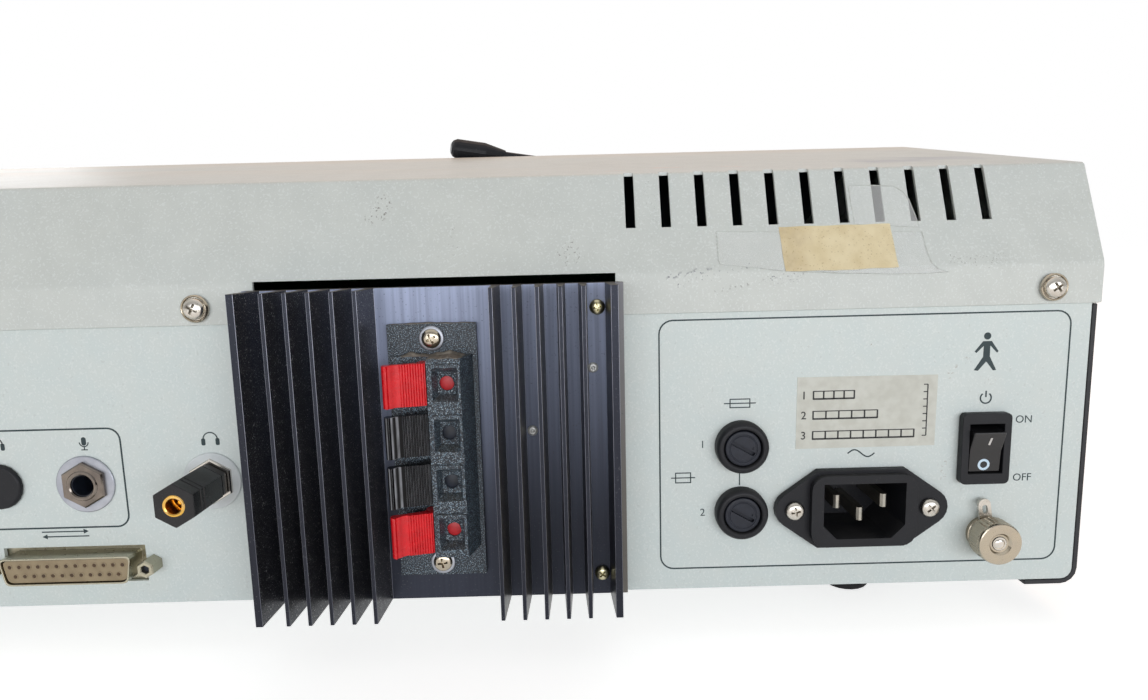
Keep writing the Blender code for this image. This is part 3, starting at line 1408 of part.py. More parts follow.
def make_amplifier_board():
    middle = from_side(sink_inset)
    face = panel_sheet + gap
    front = face + amplifier_device_thickness
    low = at(middle - amplifier_half_width, front, amplifier_bottom)
    high = at(middle + amplifier_half_width, front + amplifier_sheet, amplifier_bottom + amplifier_height)
    board = piece("amplifier_board", block(low, high), BOARD)
    devices = []
    for i in range(amplifier_device_count):
        x = middle + amplifier_device_pitch * (i - (amplifier_device_count - 1) / 2)
        bottom = amplifier_bottom + amplifier_height - amplifier_device_height
        device_low = at(x - amplifier_device_half_width, face, bottom)
        device_high = at(x + amplifier_device_half_width, front + amplifier_sheet / 2,
                         bottom + amplifier_device_height - gap)
        devices.append(block(device_low, device_high))
    fuse(board, together(devices), "devices")
    half_x = terminal_boss_half_width + gap
    half_z = terminal_boss_half_height + gap
    opening_low = at(from_side(terminal_inset) - half_x, front - overrun, terminal_height - half_z)
    opening_high = at(from_side(terminal_inset) + half_x, front + overrun, terminal_height + half_z)
    carve(board, block(opening_low, opening_high), "boss_opening")


def make_control_board():
    middle = control_board_start + control_board_length / 2
    top = -(shaft_length + gap)
    half_x = control_board_half_width
    half_y = control_board_length / 2
    board = piece("control_board", block((-half_x, -half_y, top - board_sheet), (half_x, half_y, top)), BOARD,
                  on_slope(0, middle, 0), OUT_OF_SLOPE)
    posts = []
    inset = board_post_inset
    for side_x in (-1, 1):
        for side_y in (-1, 1):
            centre = (side_x * (half_x - inset), side_y * (half_y - inset))
            posts.append(prism(circle(board_post_radius, SMALL, centre), "Z", top - board_sheet / 2, 0.0))
        key_centre = (side_x * key_across, key_down - middle)
        switch_top = -(key_depth + key_travel + gap)
        posts.append(prism(rounded(key_switch_half_width, key_switch_half_width, board_sheet, key_centre), "Z",
                           top - board_sheet / 2, switch_top))
    fuse(board, together(posts), "posts")


make_top_cover()
make_rear_panel()
make_socket_plate()
make_base_tray()
make_side_panel("side_panel_left", -1)
make_side_panel("side_panel_right", 1)
make_feet()
make_heat_sink()
make_speaker_terminal()
make_levers()
make_fuse_holders()
make_mains_inlet()
make_switch()
make_ground_post()
make_serial_socket()
make_jack("talk_back_jack", talk_back_inset)
make_jack("monitor_jack", monitor_inset)
make_monitor_adapter()
make_left_sockets()
make_cover_screws()
make_operator_panel()
make_display()
make_dials()
make_keys()
make_microphone()
make_main_board()
make_transformer()
make_amplifier_board()
make_control_board()
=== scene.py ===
"""Looks of a desktop audiometer seen from behind: paint, plastics, metal, prints, screws and years of wear."""

import math

import bmesh
import bpy
from mathutils import Matrix, Vector
from mathutils.bvhtree import BVHTree


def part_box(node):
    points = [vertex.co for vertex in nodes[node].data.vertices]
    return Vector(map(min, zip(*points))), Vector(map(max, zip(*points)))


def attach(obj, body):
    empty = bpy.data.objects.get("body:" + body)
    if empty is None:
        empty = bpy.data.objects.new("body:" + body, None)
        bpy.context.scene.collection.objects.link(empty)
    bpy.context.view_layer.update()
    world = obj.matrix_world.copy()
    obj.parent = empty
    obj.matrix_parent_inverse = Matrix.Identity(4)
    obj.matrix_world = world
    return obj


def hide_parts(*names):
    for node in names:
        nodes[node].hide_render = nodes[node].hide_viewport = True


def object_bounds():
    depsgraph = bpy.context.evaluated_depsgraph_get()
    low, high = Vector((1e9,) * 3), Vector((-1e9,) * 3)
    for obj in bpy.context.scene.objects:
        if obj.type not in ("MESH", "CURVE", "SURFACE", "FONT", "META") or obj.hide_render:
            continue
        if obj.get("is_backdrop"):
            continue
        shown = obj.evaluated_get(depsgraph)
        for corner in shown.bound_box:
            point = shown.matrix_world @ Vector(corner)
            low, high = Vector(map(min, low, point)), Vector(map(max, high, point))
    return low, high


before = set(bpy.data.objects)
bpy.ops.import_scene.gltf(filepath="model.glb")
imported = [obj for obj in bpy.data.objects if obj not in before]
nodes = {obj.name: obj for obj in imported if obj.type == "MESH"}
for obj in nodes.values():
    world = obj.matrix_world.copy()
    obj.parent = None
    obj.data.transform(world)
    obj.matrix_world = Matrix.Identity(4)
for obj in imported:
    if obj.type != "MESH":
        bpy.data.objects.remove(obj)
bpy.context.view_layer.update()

MM = 0.001


def middle(node):
    """Centre of a node's box seen from behind, as (x, z)."""
    low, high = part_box(node)
    return ((low.x + high.x) / 2, (low.z + high.z) / 2)


# Where the rear panel, the sink and the inlet stand, and skins thin enough for ink and film
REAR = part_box("rear_panel")[0].y
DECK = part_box("rear_panel")[0].z
SINK_X = middle("heat_sink")[0]
INLET = middle("mains_inlet")[0]
INK = 0.06 * MM
FILM = 0.1 * MM

# A capital's share of the font's size, and the pitch of the serial socket's holes
CAPITAL = 0.72
HOLE_PITCH = 2.77 * MM

# How far washers and fuse rings stand off the panel, so that no two faces share a plane
PROUD = 0.1 * MM

# Levers: radii of the hooked nose and of the hinge eye, and half the width
NOSE, EYE = 1.9, 1.3
LEVER_HALF = 5.85 * MM

# CAD faces: points closer than this are one, and faces that turn less than this are one flat
MERGE = 0.001 * MM
FLAT_DEGREES = 0.5

# Light of the room on the viewer's side, and the floor's half size and glow
ROOM_COLOUR, ROOM_STRENGTH = (1, 0.985, 0.97, 1), 0.36
FLOOR_REACH, FLOOR_GLOW = 6, 0.7

# The camera, level with the rear panel's upper half and close to it
CAMERA_PLACE = (0.106646, -0.387258, 0.116784)
CAMERA_RIGHT = (0.99966416, -0.00726049, -0.02487674)
CAMERA_DOWN = (-0.02565407, -0.14147968, -0.98960869)
CAMERA_AHEAD = (0.00366549, 0.98991453, -0.14161843)
CAMERA_LENS = 22.405
CAMERA_SENSOR = 36


def tone(red, green, blue):
    """A colour from its three display values, 0 to 255."""
    def linear(value):
        value /= 255
        return value / 12.92 if value <= 0.04045 else ((value + 0.055) / 1.055) ** 2.4
    return (linear(red), linear(green), linear(blue), 1.0)


def spot(across, height):
    """Place on the rear panel in millimetres from the mains inlet's centre and the panel's lower edge, as (x, z)."""
    return (INLET + across * MM, DECK + height * MM)


def out_of_rear(x, z, proud=0.0):
    """Matrix that sends a shape's Z out of the rear panel."""
    return Matrix.Translation((x, REAR - proud, z)) @ Matrix.Rotation(math.pi / 2, 4, "X")


def spun(degrees):
    return Matrix.Rotation(math.radians(degrees), 4, "Z")


# --- Materials ---

class Tree:
    """Makes and joins shader nodes."""

    def __init__(self, tree):
        self.nodes, self.links = tree.nodes, tree.links

    def add(self, kind, inputs=(), **settings):
        node = self.nodes.new("ShaderNode" + kind)
        for key, value in settings.items():
            setattr(node, key, value)
        for key, value in dict(inputs).items():
            self.feed(node.inputs[key], value)
        return node.outputs

    def feed(self, socket, value):
        if isinstance(value, bpy.types.NodeSocket):
            self.links.new(value, socket)
        else:
            socket.default_value = value

    def math(self, operation, first, second=0.0, clamp=False):
        return self.add("Math", {0: first, 1: second}, operation=operation, use_clamp=clamp)[0]

    def times(self, first, *others):
        for other in others:
            first = self.math("MULTIPLY", first, other)
        return first


class Look(Tree):
    """One material, built up layer by layer in the object's own space. Colours are display values."""

    def __init__(self, name, colour, roughness, metallic=0.0, specular=0.5, coat=0.0):
        self.material = bpy.data.materials.new(name)
        self.material.use_nodes = True
        self.material.diffuse_color = tone(*colour)
        super().__init__(self.material.node_tree)
        self.shader = self.nodes["Principled BSDF"]
        for key, value in (("Metallic", metallic), ("Specular IOR Level", specular), ("Coat Weight", coat)):
            self.shader.inputs[key].default_value = value
        self.place = self.add("TexCoord")["Object"]
        self.colour = tone(*colour)
        self.roughness = roughness
        self.bumps = []

    def facing(self):
        """Where the surface looks, as x, y and z."""
        return self.add("SeparateXYZ", {0: self.add("NewGeometry")["Normal"]})

    def step(self, value, low, high):
        """0 below low, 1 above high, smooth between."""
        return self.add("MapRange", {0: value, 1: low, 2: high}, interpolation_type="SMOOTHSTEP")[0]

    def noise(self, size, detail=2.0, stretch=(1, 1, 1), shift=0.0):
        place = self.add("Mapping", {0: self.place, 1: (shift, shift, shift), 3: stretch})[0]
        return self.add("TexNoise", {"Vector": place, "Scale": 1 / size, "Detail": detail})[0]

    def stain(self, colour, share, *masks):
        """Another colour where all the masks are 1."""
        mix = {0: self.times(*masks, share), 6: self.colour, 7: tone(*colour)}
        self.colour = self.add("Mix", mix, data_type="RGBA")[2]
        return self

    def sparse(self, noise, amount, soft):
        """The peaks of a noise that take a share of the surface, 0 to 1."""
        low = 0.78 - 0.3 * amount
        return self.step(noise, low, low + soft)

    def mottle(self, colour, size, share=1.0, stretch=(1, 1, 1), shift=0.0):
        """A second colour in soft clouds."""
        return self.stain(colour, share, self.step(self.noise(size, 3, stretch, shift), 0.3, 0.75))

    def specks(self, colour, size, amount, share=1.0, shift=3.0):
        """Small spots: amount is how much of the surface they take, 0 to 1."""
        return self.stain(colour, share, self.sparse(self.noise(size, 0, shift=shift), amount, 0.05))

    def dust(self, colour, share, size=6 * MM):
        """Dust on what faces up."""
        cover = self.times(self.step(self.facing()[2], 0.3, 0.95), self.step(self.noise(size, 4, shift=7.0), 0.2, 0.7))
        self.roughness = self.math("ADD", self.roughness, self.times(cover, 0.3), clamp=True)
        return self.stain(colour, share, cover)

    def grain(self, size, height, stretch=(1, 1, 1), shift=1.0):
        """Bumps."""
        self.bumps.append((self.noise(size, 2, stretch, shift), height))
        return self

    def polish(self, size, spread, stretch=(1, 1, 1)):
        """Uneven gloss."""
        cloud = self.math("SUBTRACT", self.noise(size, 3, stretch, shift=5.0), 0.5)
        self.roughness = self.math("ADD", self.roughness, self.times(cloud, spread), clamp=True)
        return self

    def patch(self, centre, half, turn=0.0, edge=0.3 * MM, ragged=0.0, ragged_size=2 * MM, flat=False):
        """1 inside a rectangle turned in the rear panel's plane, or lying flat, 0 outside it."""
        past = self.add("VectorMath", {0: self.place, 1: centre}, operation="SUBTRACT")[0]
        past = self.add("VectorRotate", {"Vector": past, "Axis": (0, not flat, flat), "Angle": turn})[0]
        past = self.add("VectorMath", {0: past}, operation="ABSOLUTE")[0]
        past = self.add("VectorMath", {0: past, 1: half}, operation="SUBTRACT")[0]
        x, y, z = self.add("SeparateXYZ", {0: past})
        reach = self.math("MAXIMUM", x, y if flat else z)
        if ragged:
            wander = self.math("SUBTRACT", self.noise(ragged_size, 3, shift=11.0), 0.5)
            reach = self.math("ADD", reach, self.times(wander, ragged))
        return self.math("SUBTRACT", 1.0, self.step(reach, -edge, edge))

    def done(self):
        self.feed(self.shader.inputs["Base Color"], self.colour)
        self.feed(self.shader.inputs["Roughness"], self.roughness)
        below = {}
        for height, depth in self.bumps:
            below = {"Normal": self.add("Bump", {"Height": height, "Distance": depth, "Strength": 1.0, **below})[0]}
        if below:
            self.feed(self.shader.inputs["Normal"], below["Normal"])
        return self.material


def pebble_paint(name, colour):
    """Baked paint with a fine pebble, light clouds and a few grey spots."""
    look = Look(name, colour, 0.42, specular=0.35)
    look.mottle((200, 207, 205), 60 * MM, 0.5).mottle((212, 216, 211), 9 * MM, 0.35, shift=2.0)
    look.specks((180, 184, 180), 0.9 * MM, 0.05, 0.25).specks((224, 229, 227), 0.6 * MM, 0.5, 0.35, shift=8.0)
    return look.polish(14 * MM, 0.12).grain(0.9 * MM, 0.05 * MM).grain(3.2 * MM, 0.03 * MM, shift=4.0)


def marked(look, across, height, half, turn, size, amount, share, colour, flat=False):
    """Wear in one place of the rear or the flat top: broken specks inside a soft, ragged patch."""
    x, z = spot(across, height)
    centre, reach = (x, 0, z), (half[0] * MM, 0, half[1] * MM)
    if flat:
        centre, reach = (x, REAR + height * MM, 0), (half[0] * MM, half[1] * MM, 0)
    where = look.patch(centre, reach, math.radians(turn), 0.8 * MM, 3 * MM, 4 * MM, flat)
    look.stain(colour, share, where, look.sparse(look.noise(size * MM, 1, shift=across), amount, 0.06))


def rear_paint():
    """The pebbled paint with a few scratches, chips and rubbed places."""
    look = pebble_paint("pebble_paint", (204, 214, 212))
    for mark in ((28.4, 67.0, (4.2, 0.5), 44, 0.9, 0.75, 0.6), (30.2, 67.6, (1.6, 0.3), 30, 0.7, 0.7, 0.5),
                 (25.4, 35.5, (0.35, 2.6), 0, 0.7, 0.7, 0.5), (2.5, 73.6, (0.35, 0.5), 10, 0.6, 0.9, 0.8),
                 (37.2, 62.0, (2.5, 1.2), 0, 0.6, 0.45, 0.25)):
        marked(look, *mark, (138, 120, 100))
    return look.done()


def cover_paint():
    """The same paint, with warm light painted on the flat top, scuffs on the slant and a soft smear on top."""
    look = pebble_paint("cover_paint", (198, 202, 197))
    # Painted light: a warm tint on faces that look straight up, standing in for warm light falling on the flat top
    look.stain((212, 196, 176), 0.75, look.step(look.facing()[2], 0.985, 0.998))
    ink, grime, haze = (66, 66, 86), (110, 106, 100), (158, 164, 176)
    for mark in (
            (-50.0, 96.0, (7.0, 0.35), 9, 1.1, 0.75, 0.85, ink), (-43.0, 95.2, (12.0, 0.9), 14, 0.6, 0.45, 0.6, ink),
            (-36.0, 92.0, (8.0, 0.4), 12, 1.0, 0.6, 0.6, grime), (-24.0, 93.6, (5.0, 1.2), 6, 0.5, 0.5, 0.6, ink),
            (-10.0, 95.4, (14.0, 0.3), 3, 0.8, 0.55, 0.5, grime), (32.0, 97.2, (8.5, 1.9), -4, 0.5, 0.5, 0.5, grime),
            (-139.6, 116.0, (2.6, 4.2), -30, 0.7, 0.6, 0.7, grime), (-84.7, 101.8, (3, 3), 30, 0.6, 0.5, 0.6, grime),
            (-118.0, 107.0, (1.4, 5.0), 10, 0.6, 0.4, 0.5, grime), (-61.0, 117.0, (1.6, 6), 0, 0.5, 0.35, 0.45, grime)):
        marked(look, *mark)
    for shift, depth, reach in ((0.0, 40.0, 21.0), (-9.0, 34.0, 9.0), (10.0, 47.0, 11.0)):
        smear = look.patch((INLET + (30.0 + shift) * MM, REAR + depth * MM, 0), (reach * MM, 5 * MM, 0), 0.06, 6 * MM,
                           14 * MM, 11 * MM, True)
        look.stain(haze, 0.75, smear, look.noise(7 * MM, 4, (0.4, 1, 1), shift))
    marked(look, -60.0, 30.0, (30.0, 9.0), -6, 9.0, 0.6, 0.4, (214, 196, 186), True)
    return look.done()


def flat_black(name, colour=(24, 25, 29), roughness=0.42, specular=0.24):
    """Black moulding with pale specks and a little dust."""
    look = Look(name, colour, roughness, specular=specular)
    look.mottle((31, 32, 36), 8 * MM, 0.5).specks((70, 68, 66), 0.5 * MM, 0.06, 0.4)
    return look.dust((92, 90, 86), 0.14).polish(6 * MM, 0.2).grain(0.5 * MM, 0.02 * MM).done()


def anodised():
    """Black anodised extrusion: a painted bluish reflection in the channels that fades towards the bottom, painted
    highlights on the fin edges, dust on the fins' sides.
    """
    look = Look("anodised", (17, 17, 22), 0.34, specular=0.36)
    look.shader.inputs["Specular Tint"].default_value = tone(222, 230, 255)
    look.mottle((26, 26, 33), 5 * MM, 0.7, stretch=(4, 1, 0.25))
    side = look.facing()
    x, y, z = look.add("SeparateXYZ", {0: look.place})
    rearward = look.times(side[1], -1.0)
    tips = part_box("heat_sink")[0].y
    # Strength of the painted reflection and highlights below, rising with height
    painted_sheen_height = look.step(z, DECK + 16 * MM, DECK + 108 * MM)
    drawn = look.step(look.noise(1.1 * MM, 2, (1, 1, 0.02), 6.0), 0.1, 0.8)
    # Painted reflection: a pale bluish tone on the channel faces turned out to the rear, strongest high up and fading
    # towards the bottom
    look.stain((180, 191, 220), 0.9, look.step(rearward, 0.6, 0.95), look.step(y, tips + 2 * MM, tips + 3 * MM),
               look.math("ADD", 0.05, painted_sheen_height), look.math("ADD", 0.6, look.times(drawn, 0.4)))
    # Painted highlight: pale lines on the fins' bevelled edges that face sideways and out to the rear, brighter higher
    # up
    look.stain((220, 224, 240), 0.95, look.step(look.math("ABSOLUTE", side[0]), 0.3, 0.45),
               look.step(rearward, 0.3, 0.45), look.math("ADD", 0.25, look.times(painted_sheen_height, 0.75)))
    walls = look.step(side[0], 0.6, 0.95)
    dusty = look.patch((SINK_X + 36 * MM, 0, DECK + 50 * MM), (20 * MM, 0, 60 * MM))
    look.stain((98, 91, 80), 0.7, walls, dusty, look.step(look.noise(3 * MM, 3, shift=2.0), 0.1, 0.8))
    look.stain((122, 117, 106), 0.8, look.step(x, SINK_X + 51.3 * MM, SINK_X + 51.6 * MM))
    look.stain((92, 92, 92), 0.5, walls, look.step(look.noise(0.42 * MM, 1, shift=9.0), 0.5, 0.62))
    look.stain((196, 196, 196), 0.85, walls, look.step(look.noise(0.42 * MM, 1, shift=4.0), 0.66, 0.72))
    look.specks((84, 84, 86), 0.45 * MM, 0.08, 0.5)
    look.dust((92, 88, 80), 0.95, 3 * MM).polish(3 * MM, 0.16, stretch=(6, 1, 0.2))
    return look.grain(0.5 * MM, 0.006 * MM, stretch=(3, 1, 0.1)).grain(0.4 * MM, 0.008 * MM).done()


def sparkle_black():
    """Coarse moulded plastic that glitters in its grain."""
    look = Look("sparkle_black", (36, 41, 48), 0.42, specular=0.35)
    look.specks((114, 134, 148), 0.3 * MM, 0.62, 0.8).specks((184, 196, 202), 0.28 * MM, 0.28, 0.85, shift=9.0)
    return look.dust((98, 94, 86), 0.4, 3 * MM).polish(2 * MM, 0.3).grain(0.4 * MM, 0.1 * MM).done()


def lever_black():
    """Polished black moulding with pale highlights painted on its rib edges and nose."""
    look = Look("lever_black", (9, 9, 12), 0.16, specular=0.15)
    side = look.facing()
    lean = look.math("ABSOLUTE", side[0])
    painted_highlight_band = look.math("SUBTRACT", look.step(lean, 0.4, 0.52), look.step(lean, 0.6, 0.72))
    # Painted highlight: pale streaks on faces turned partly sideways and out to the rear, along the rib edges and the
    # curved nose
    look.stain((190, 192, 198), 0.8, painted_highlight_band, look.step(look.times(side[1], -1.0), 0.25, 0.5),
               look.noise(1.6 * MM, 3, (1, 1, 0.3), 5.0))
    return look.polish(2 * MM, 0.3, stretch=(1, 1, 0.2)).grain(0.8 * MM, 0.012 * MM, stretch=(1, 1, 0.3)).done()


def red_plastic():
    look = Look("red_plastic", (218, 14, 28), 0.28, specular=0.42, coat=0.12)
    look.mottle((176, 10, 20), 3 * MM, 0.5).specks((230, 120, 116), 0.4 * MM, 0.05, 0.4)
    return look.polish(3 * MM, 0.2).grain(0.8 * MM, 0.02 * MM).done()


def nickel(name="nickel", colour=(196, 192, 184), roughness=0.28):
    look = Look(name, colour, roughness, metallic=1.0)
    look.mottle((168, 160, 148), 2.4 * MM, 0.45).specks((110, 100, 84), 0.3 * MM, 0.12, 0.5)
    return look.polish(1.6 * MM, 0.2).grain(0.6 * MM, 0.006 * MM).done()


def plain(name, colour, second, roughness, size=4, metallic=0.0, specular=0.4, grain=0.6, height=0.02):
    """Two close colours in clouds; size, grain and height in millimetres."""
    look = Look(name, colour, roughness, metallic=metallic, specular=specular)
    return look.mottle(second, size * MM, 0.8).polish(size * MM, 0.2).grain(grain * MM, height * MM).done()


def aged_paper():
    """Cream label gone brown at one end, with creases and thumbed corners."""
    look = Look("cream_label", (224, 210, 174), 0.6, specular=0.25)
    x, z = spot(-22.0, 102.0)
    brown = look.patch((x, 0, z), (5 * MM, 0, 8 * MM), 0.0, 4 * MM, 4 * MM, 5 * MM)
    look.stain((150, 122, 84), 0.7, brown, look.noise(2.4 * MM, 3))
    look.mottle((206, 188, 146), 4 * MM, 0.7).mottle((232, 220, 186), 9 * MM, 0.5, shift=2.0)
    look.specks((150, 124, 88), 0.5 * MM, 0.2, 0.35)
    return look.grain(3 * MM, 0.12 * MM).grain(0.7 * MM, 0.04 * MM).done()


def clear_film():
    """Old clear tape: thin, a little cloudy."""
    look = Look("clear_tape", (248, 250, 250), 0.3)
    look.mottle((236, 238, 234), 3 * MM, 0.5).polish(3 * MM, 0.2).grain(2.5 * MM, 0.02 * MM)
    look.shader.inputs["Alpha"].default_value = 0.2
    return look.done()


def circuit_board():
    look = Look("circuit_board", (24, 82, 52), 0.35)
    look.mottle((38, 104, 64), 5 * MM, 0.8, (0.3, 3, 1)).mottle((30, 94, 58), 5 * MM, 0.8, (3, 0.3, 1), 6.0)
    return look.specks((190, 186, 170), 1.2 * MM, 0.2, 0.9).polish(5 * MM, 0.2).grain(1.5 * MM, 0.05 * MM).done()


GREY = rear_paint()
COVER = cover_paint()
BLACK = flat_black("black_plastic")
GLOSS_BLACK = flat_black("gloss_black", (17, 17, 20), 0.26, 0.36)
SINK = anodised()
SPARKLE = sparkle_black()
RED = red_plastic()
LEVER_BLACK = lever_black()
BOARD = circuit_board()
CREAM = aged_paper()
FILM_CLEAR = clear_film()
NICKEL = nickel()
ZINC = nickel("yellow_zinc", (204, 198, 160), 0.3)
BRASS = nickel("gilt", (226, 176, 74), 0.22)
STEEL = nickel("dull_steel", (150, 148, 140), 0.4)
SHELL = nickel("shell_tin", (172, 168, 148), 0.3)
POST_NICKEL = nickel("post_nickel", (176, 166, 148), 0.22)
RUBBER = plain("rubber", (30, 30, 31), (46, 45, 44), 0.75, specular=0.2, height=0.05)
TAN = plain("tan_plastic", (152, 136, 108), (134, 118, 92), 0.5)
FILM_GREY = plain("fascia_film", (92, 104, 116), (84, 96, 108), 0.5, 30)
GLASS = plain("display_glass", (14, 20, 22), (18, 26, 27), 0.12, 40, specular=0.6, height=0.002)
KEYS = plain("key_plastic", (206, 206, 200), (190, 190, 184), 0.4)
TAPE = plain("winding_tape", (178, 150, 52), (150, 120, 36), 0.45)
MODULE = plain("module_metal", (168, 170, 168), (146, 148, 148), 0.35, metallic=0.9)
SIDE = plain("side_paint", (40, 41, 44), (52, 52, 54), 0.5, specular=0.3, grain=0.7, height=0.08)
ZINC_GREY = plain("satin_zinc", (168, 171, 178), (150, 153, 162), 0.42, metallic=0.85, height=0.006)
CHROME = plain("polished_nickel", (206, 202, 196), (188, 182, 172), 0.14, metallic=1.0, height=0.004)
DARK_CHROME = plain("dark_chrome", (128, 120, 112), (96, 90, 86), 0.16, metallic=1.0, height=0.004)
TIN = plain("bright_tin", (226, 227, 224), (198, 198, 194), 0.3, 1, metallic=0.3)
PALE_RING = plain("pale_washer", (208, 213, 214), (196, 202, 204), 0.35, specular=0.5, height=0.01)
PAPER = plain("label_paper", (206, 207, 198), (192, 192, 182), 0.6, 3, specular=0.3)
TAPE_EDGE = plain("tape_edge", (176, 178, 172), (206, 212, 208), 0.4, 1.4)
MARK_BLUE = plain("rocker_mark_blue", (206, 226, 240), (176, 204, 226), 0.4)
MARK_WHITE = plain("rocker_mark_white", (208, 206, 202), (184, 180, 176), 0.4)
LIVE_RED = plain("red_behind_hole", (196, 44, 50), (160, 30, 36), 0.4, 2)
DARK_HOLE = plain("dark_hole", (30, 36, 48), (20, 22, 28), 0.5, 2)
HOLE_BROWN = plain("hole_brown", (74, 52, 30), (52, 36, 20), 0.5, 2)
DUST = plain("dust_felt", (134, 127, 117), (98, 92, 84), 0.95, 1.2, specular=0.1, height=0.25)
CAP_BLACK = plain("cap_black", (26, 29, 38), (34, 38, 48), 0.5, 2, specular=0.3, height=0.03)
ROCKER_BLACK = plain("rocker_black", (20, 20, 22), (28, 28, 30), 0.24, 5, specular=0.5, height=0.004)
INK_DARK = plain("dark_ink", (34, 50, 54), (46, 62, 64), 0.55)
INK_BLACK = plain("black_ink", (36, 36, 38), (50, 50, 50), 0.55)
INK_LIGHT = plain("light_ink", (214, 226, 236), (190, 204, 216), 0.5)
SCREEN_GREEN = plain("screen_grid", (70, 120, 104), (60, 104, 92), 0.4)
SCREEN_RED = plain("screen_red", (206, 60, 60), (180, 48, 50), 0.4)
SCREEN_BLUE = plain("screen_blue", (70, 120, 200), (58, 100, 176), 0.4)
KEY_PRINT = plain("key_print", (196, 202, 206), (184, 190, 196), 0.45, 9)
LAMP_GREEN = plain("lamp_green", (70, 200, 96), (54, 170, 80), 0.2, 1)
LAMP_RED = plain("lamp_amber", (150, 60, 40), (120, 44, 30), 0.2, 1)


# --- Shapes ---

SPREAD = {"X": lambda a, b, c: (c, a, b), "Y": lambda a, b, c: (a, c, b), "Z": lambda a, b, c: (a, b, c)}


def loft(rows, closed=False):
    """Join rows of points into a solid: capped at both ends, or closed on itself."""
    shape = bmesh.new()
    rings = [[shape.verts.new(point) for point in row] for row in rows]
    if not closed:
        shape.faces.new(rings[0])
        shape.faces.new(rings[-1])
    for lower, upper in zip(rings, rings[1:] + (rings[:1] if closed else [])):
        for i in range(len(lower)):
            j = (i + 1) % len(lower)
            shape.faces.new((lower[i], lower[j], upper[j], upper[i]))
    bmesh.ops.recalc_face_normals(shape, faces=shape.faces)
    return shape


def prism(outline, axis, low, high):
    """Extrude a closed outline along X, Y or Z; the outline's two numbers are the other two axes in order."""
    return loft([[SPREAD[axis](a, b, level) for a, b in outline] for level in (low, high)])


def strip(outer, inner, low, high, put):
    """The strip between two outlines with as many points each; put turns a point and a level into a place."""
    sides = ((outer, low), (outer, high), (inner, high), (inner, low))
    return loft([[put(a, b, level) for a, b in outline] for outline, level in sides], closed=True)


def band(outer, inner, axis, low, high):
    return strip(outer, inner, low, high, SPREAD[axis])


def scaled(outline, share, centre):
    """The same outline, larger or smaller round a centre."""
    return [(centre[0] + (a - centre[0]) * share, centre[1] + (b - centre[1]) * share) for a, b in outline]


def rounded(half_x, half_y, corner, centre=(0, 0), steps=6):
    """Rectangle with round corners."""
    points = []
    for quarter, (sx, sy) in enumerate(((1, 1), (-1, 1), (-1, -1), (1, -1))):
        for step in range(steps + 1):
            angle = math.pi / 2 * (quarter + step / steps)
            points.append((centre[0] + sx * (half_x - corner) + corner * math.cos(angle),
                           centre[1] + sy * (half_y - corner) + corner * math.sin(angle)))
    return points


def circle(radius, sides=32, centre=(0, 0), turn=0.0):
    angles = [turn + 2 * math.pi * i / sides for i in range(sides)]
    return [(centre[0] + radius * math.cos(a), centre[1] + radius * math.sin(a)) for a in angles]


def arc(centre, radius, start, end, steps=20):
    angles = [math.radians(start + (end - start) * i / steps) for i in range(steps + 1)]
    return [(centre[0] + radius * math.cos(a), centre[1] + radius * math.sin(a)) for a in angles]


def lathe(profile, sides, matrix, ring=False):
    """Spin a profile of (radius, height) in millimetres round Z and put it in place. A ring closes on itself."""
    shape = bmesh.new()
    rows = []
    for radius, height in profile:
        if radius:
            rows.append([shape.verts.new((x, y, height * MM)) for x, y in circle(radius * MM, sides)])
        else:
            rows.append([shape.verts.new((0, 0, height * MM))])
    for lower, upper in list(zip(rows, rows[1:])) + ([(rows[-1], rows[0])] if ring else []):
        for i in range(sides):
            j = (i + 1) % sides
            corners = [lower[i % len(lower)], lower[j % len(lower)], upper[j % len(upper)], upper[i % len(upper)]]
            corners = list(dict.fromkeys(corners))
            if len(corners) > 2:
                shape.faces.new(corners)
    bmesh.ops.recalc_face_normals(shape, faces=shape.faces)
    return placed(shape, matrix)


def placed(shape, matrix):
    shape.transform(matrix)
    return shape


def as_mesh(shape, name="part"):
    mesh = bpy.data.meshes.new(name)
    shape.to_mesh(mesh)
    shape.free()
    return mesh


def together(shapes):
    whole = bmesh.new()
    for shape in shapes:
        mesh = as_mesh(shape)
        whole.from_mesh(mesh)
        bpy.data.meshes.remove(mesh)
    return whole


def stroke(points, width, axis, low, high, closed=False):
    """A line of a given width along a path of points, as a thin solid."""
    count = len(points)
    left, right = [], []
    for i, point in enumerate(points):
        directions = []
        if i or closed:
            directions.append((Vector(point) - Vector(points[i - 1])).normalized())
        if i < count - 1 or closed:
            directions.append((Vector(points[(i + 1) % count]) - Vector(point)).normalized())
        along = sum(directions, Vector((0, 0))).normalized()
        side = Vector((-along.y, along.x))
        reach = width / 2 / max(0.3, side.dot(Vector((-directions[0].y, directions[0].x))))
        left.append(Vector(point) + side * reach)
        right.append(Vector(point) - side * reach)
    pieces = []
    for i in range(count if closed else count - 1):
        j = (i + 1) % count
        pieces.append(prism([left[i], left[j], right[j], right[i]], axis, low, high))
    whole = together(pieces)
    bmesh.ops.remove_doubles(whole, verts=whole.verts, dist=2 * MERGE)
    doubled = [f for f in whole.faces if all(len(e.link_faces) > 2 for e in f.edges)]
    bmesh.ops.delete(whole, geom=doubled, context="FACES_ONLY")
    return whole


# --- Pieces ---

def in_scene(name, data):
    made = bpy.data.objects.new(name, data)
    bpy.context.scene.collection.objects.link(made)
    return made


def evaluated(made):
    return bpy.data.meshes.new_from_object(made.evaluated_get(bpy.context.evaluated_depsgraph_get()))


def smoothed(mesh, degrees):
    mesh.shade_smooth()
    mesh.set_sharp_from_angle(angle=math.radians(degrees))


def bevelled(made, width, segments, degrees):
    edge = made.modifiers.new("edge", "BEVEL")
    edge.width = width
    edge.segments = segments
    edge.limit_method = "ANGLE"
    edge.angle_limit = math.radians(degrees)
    return edge


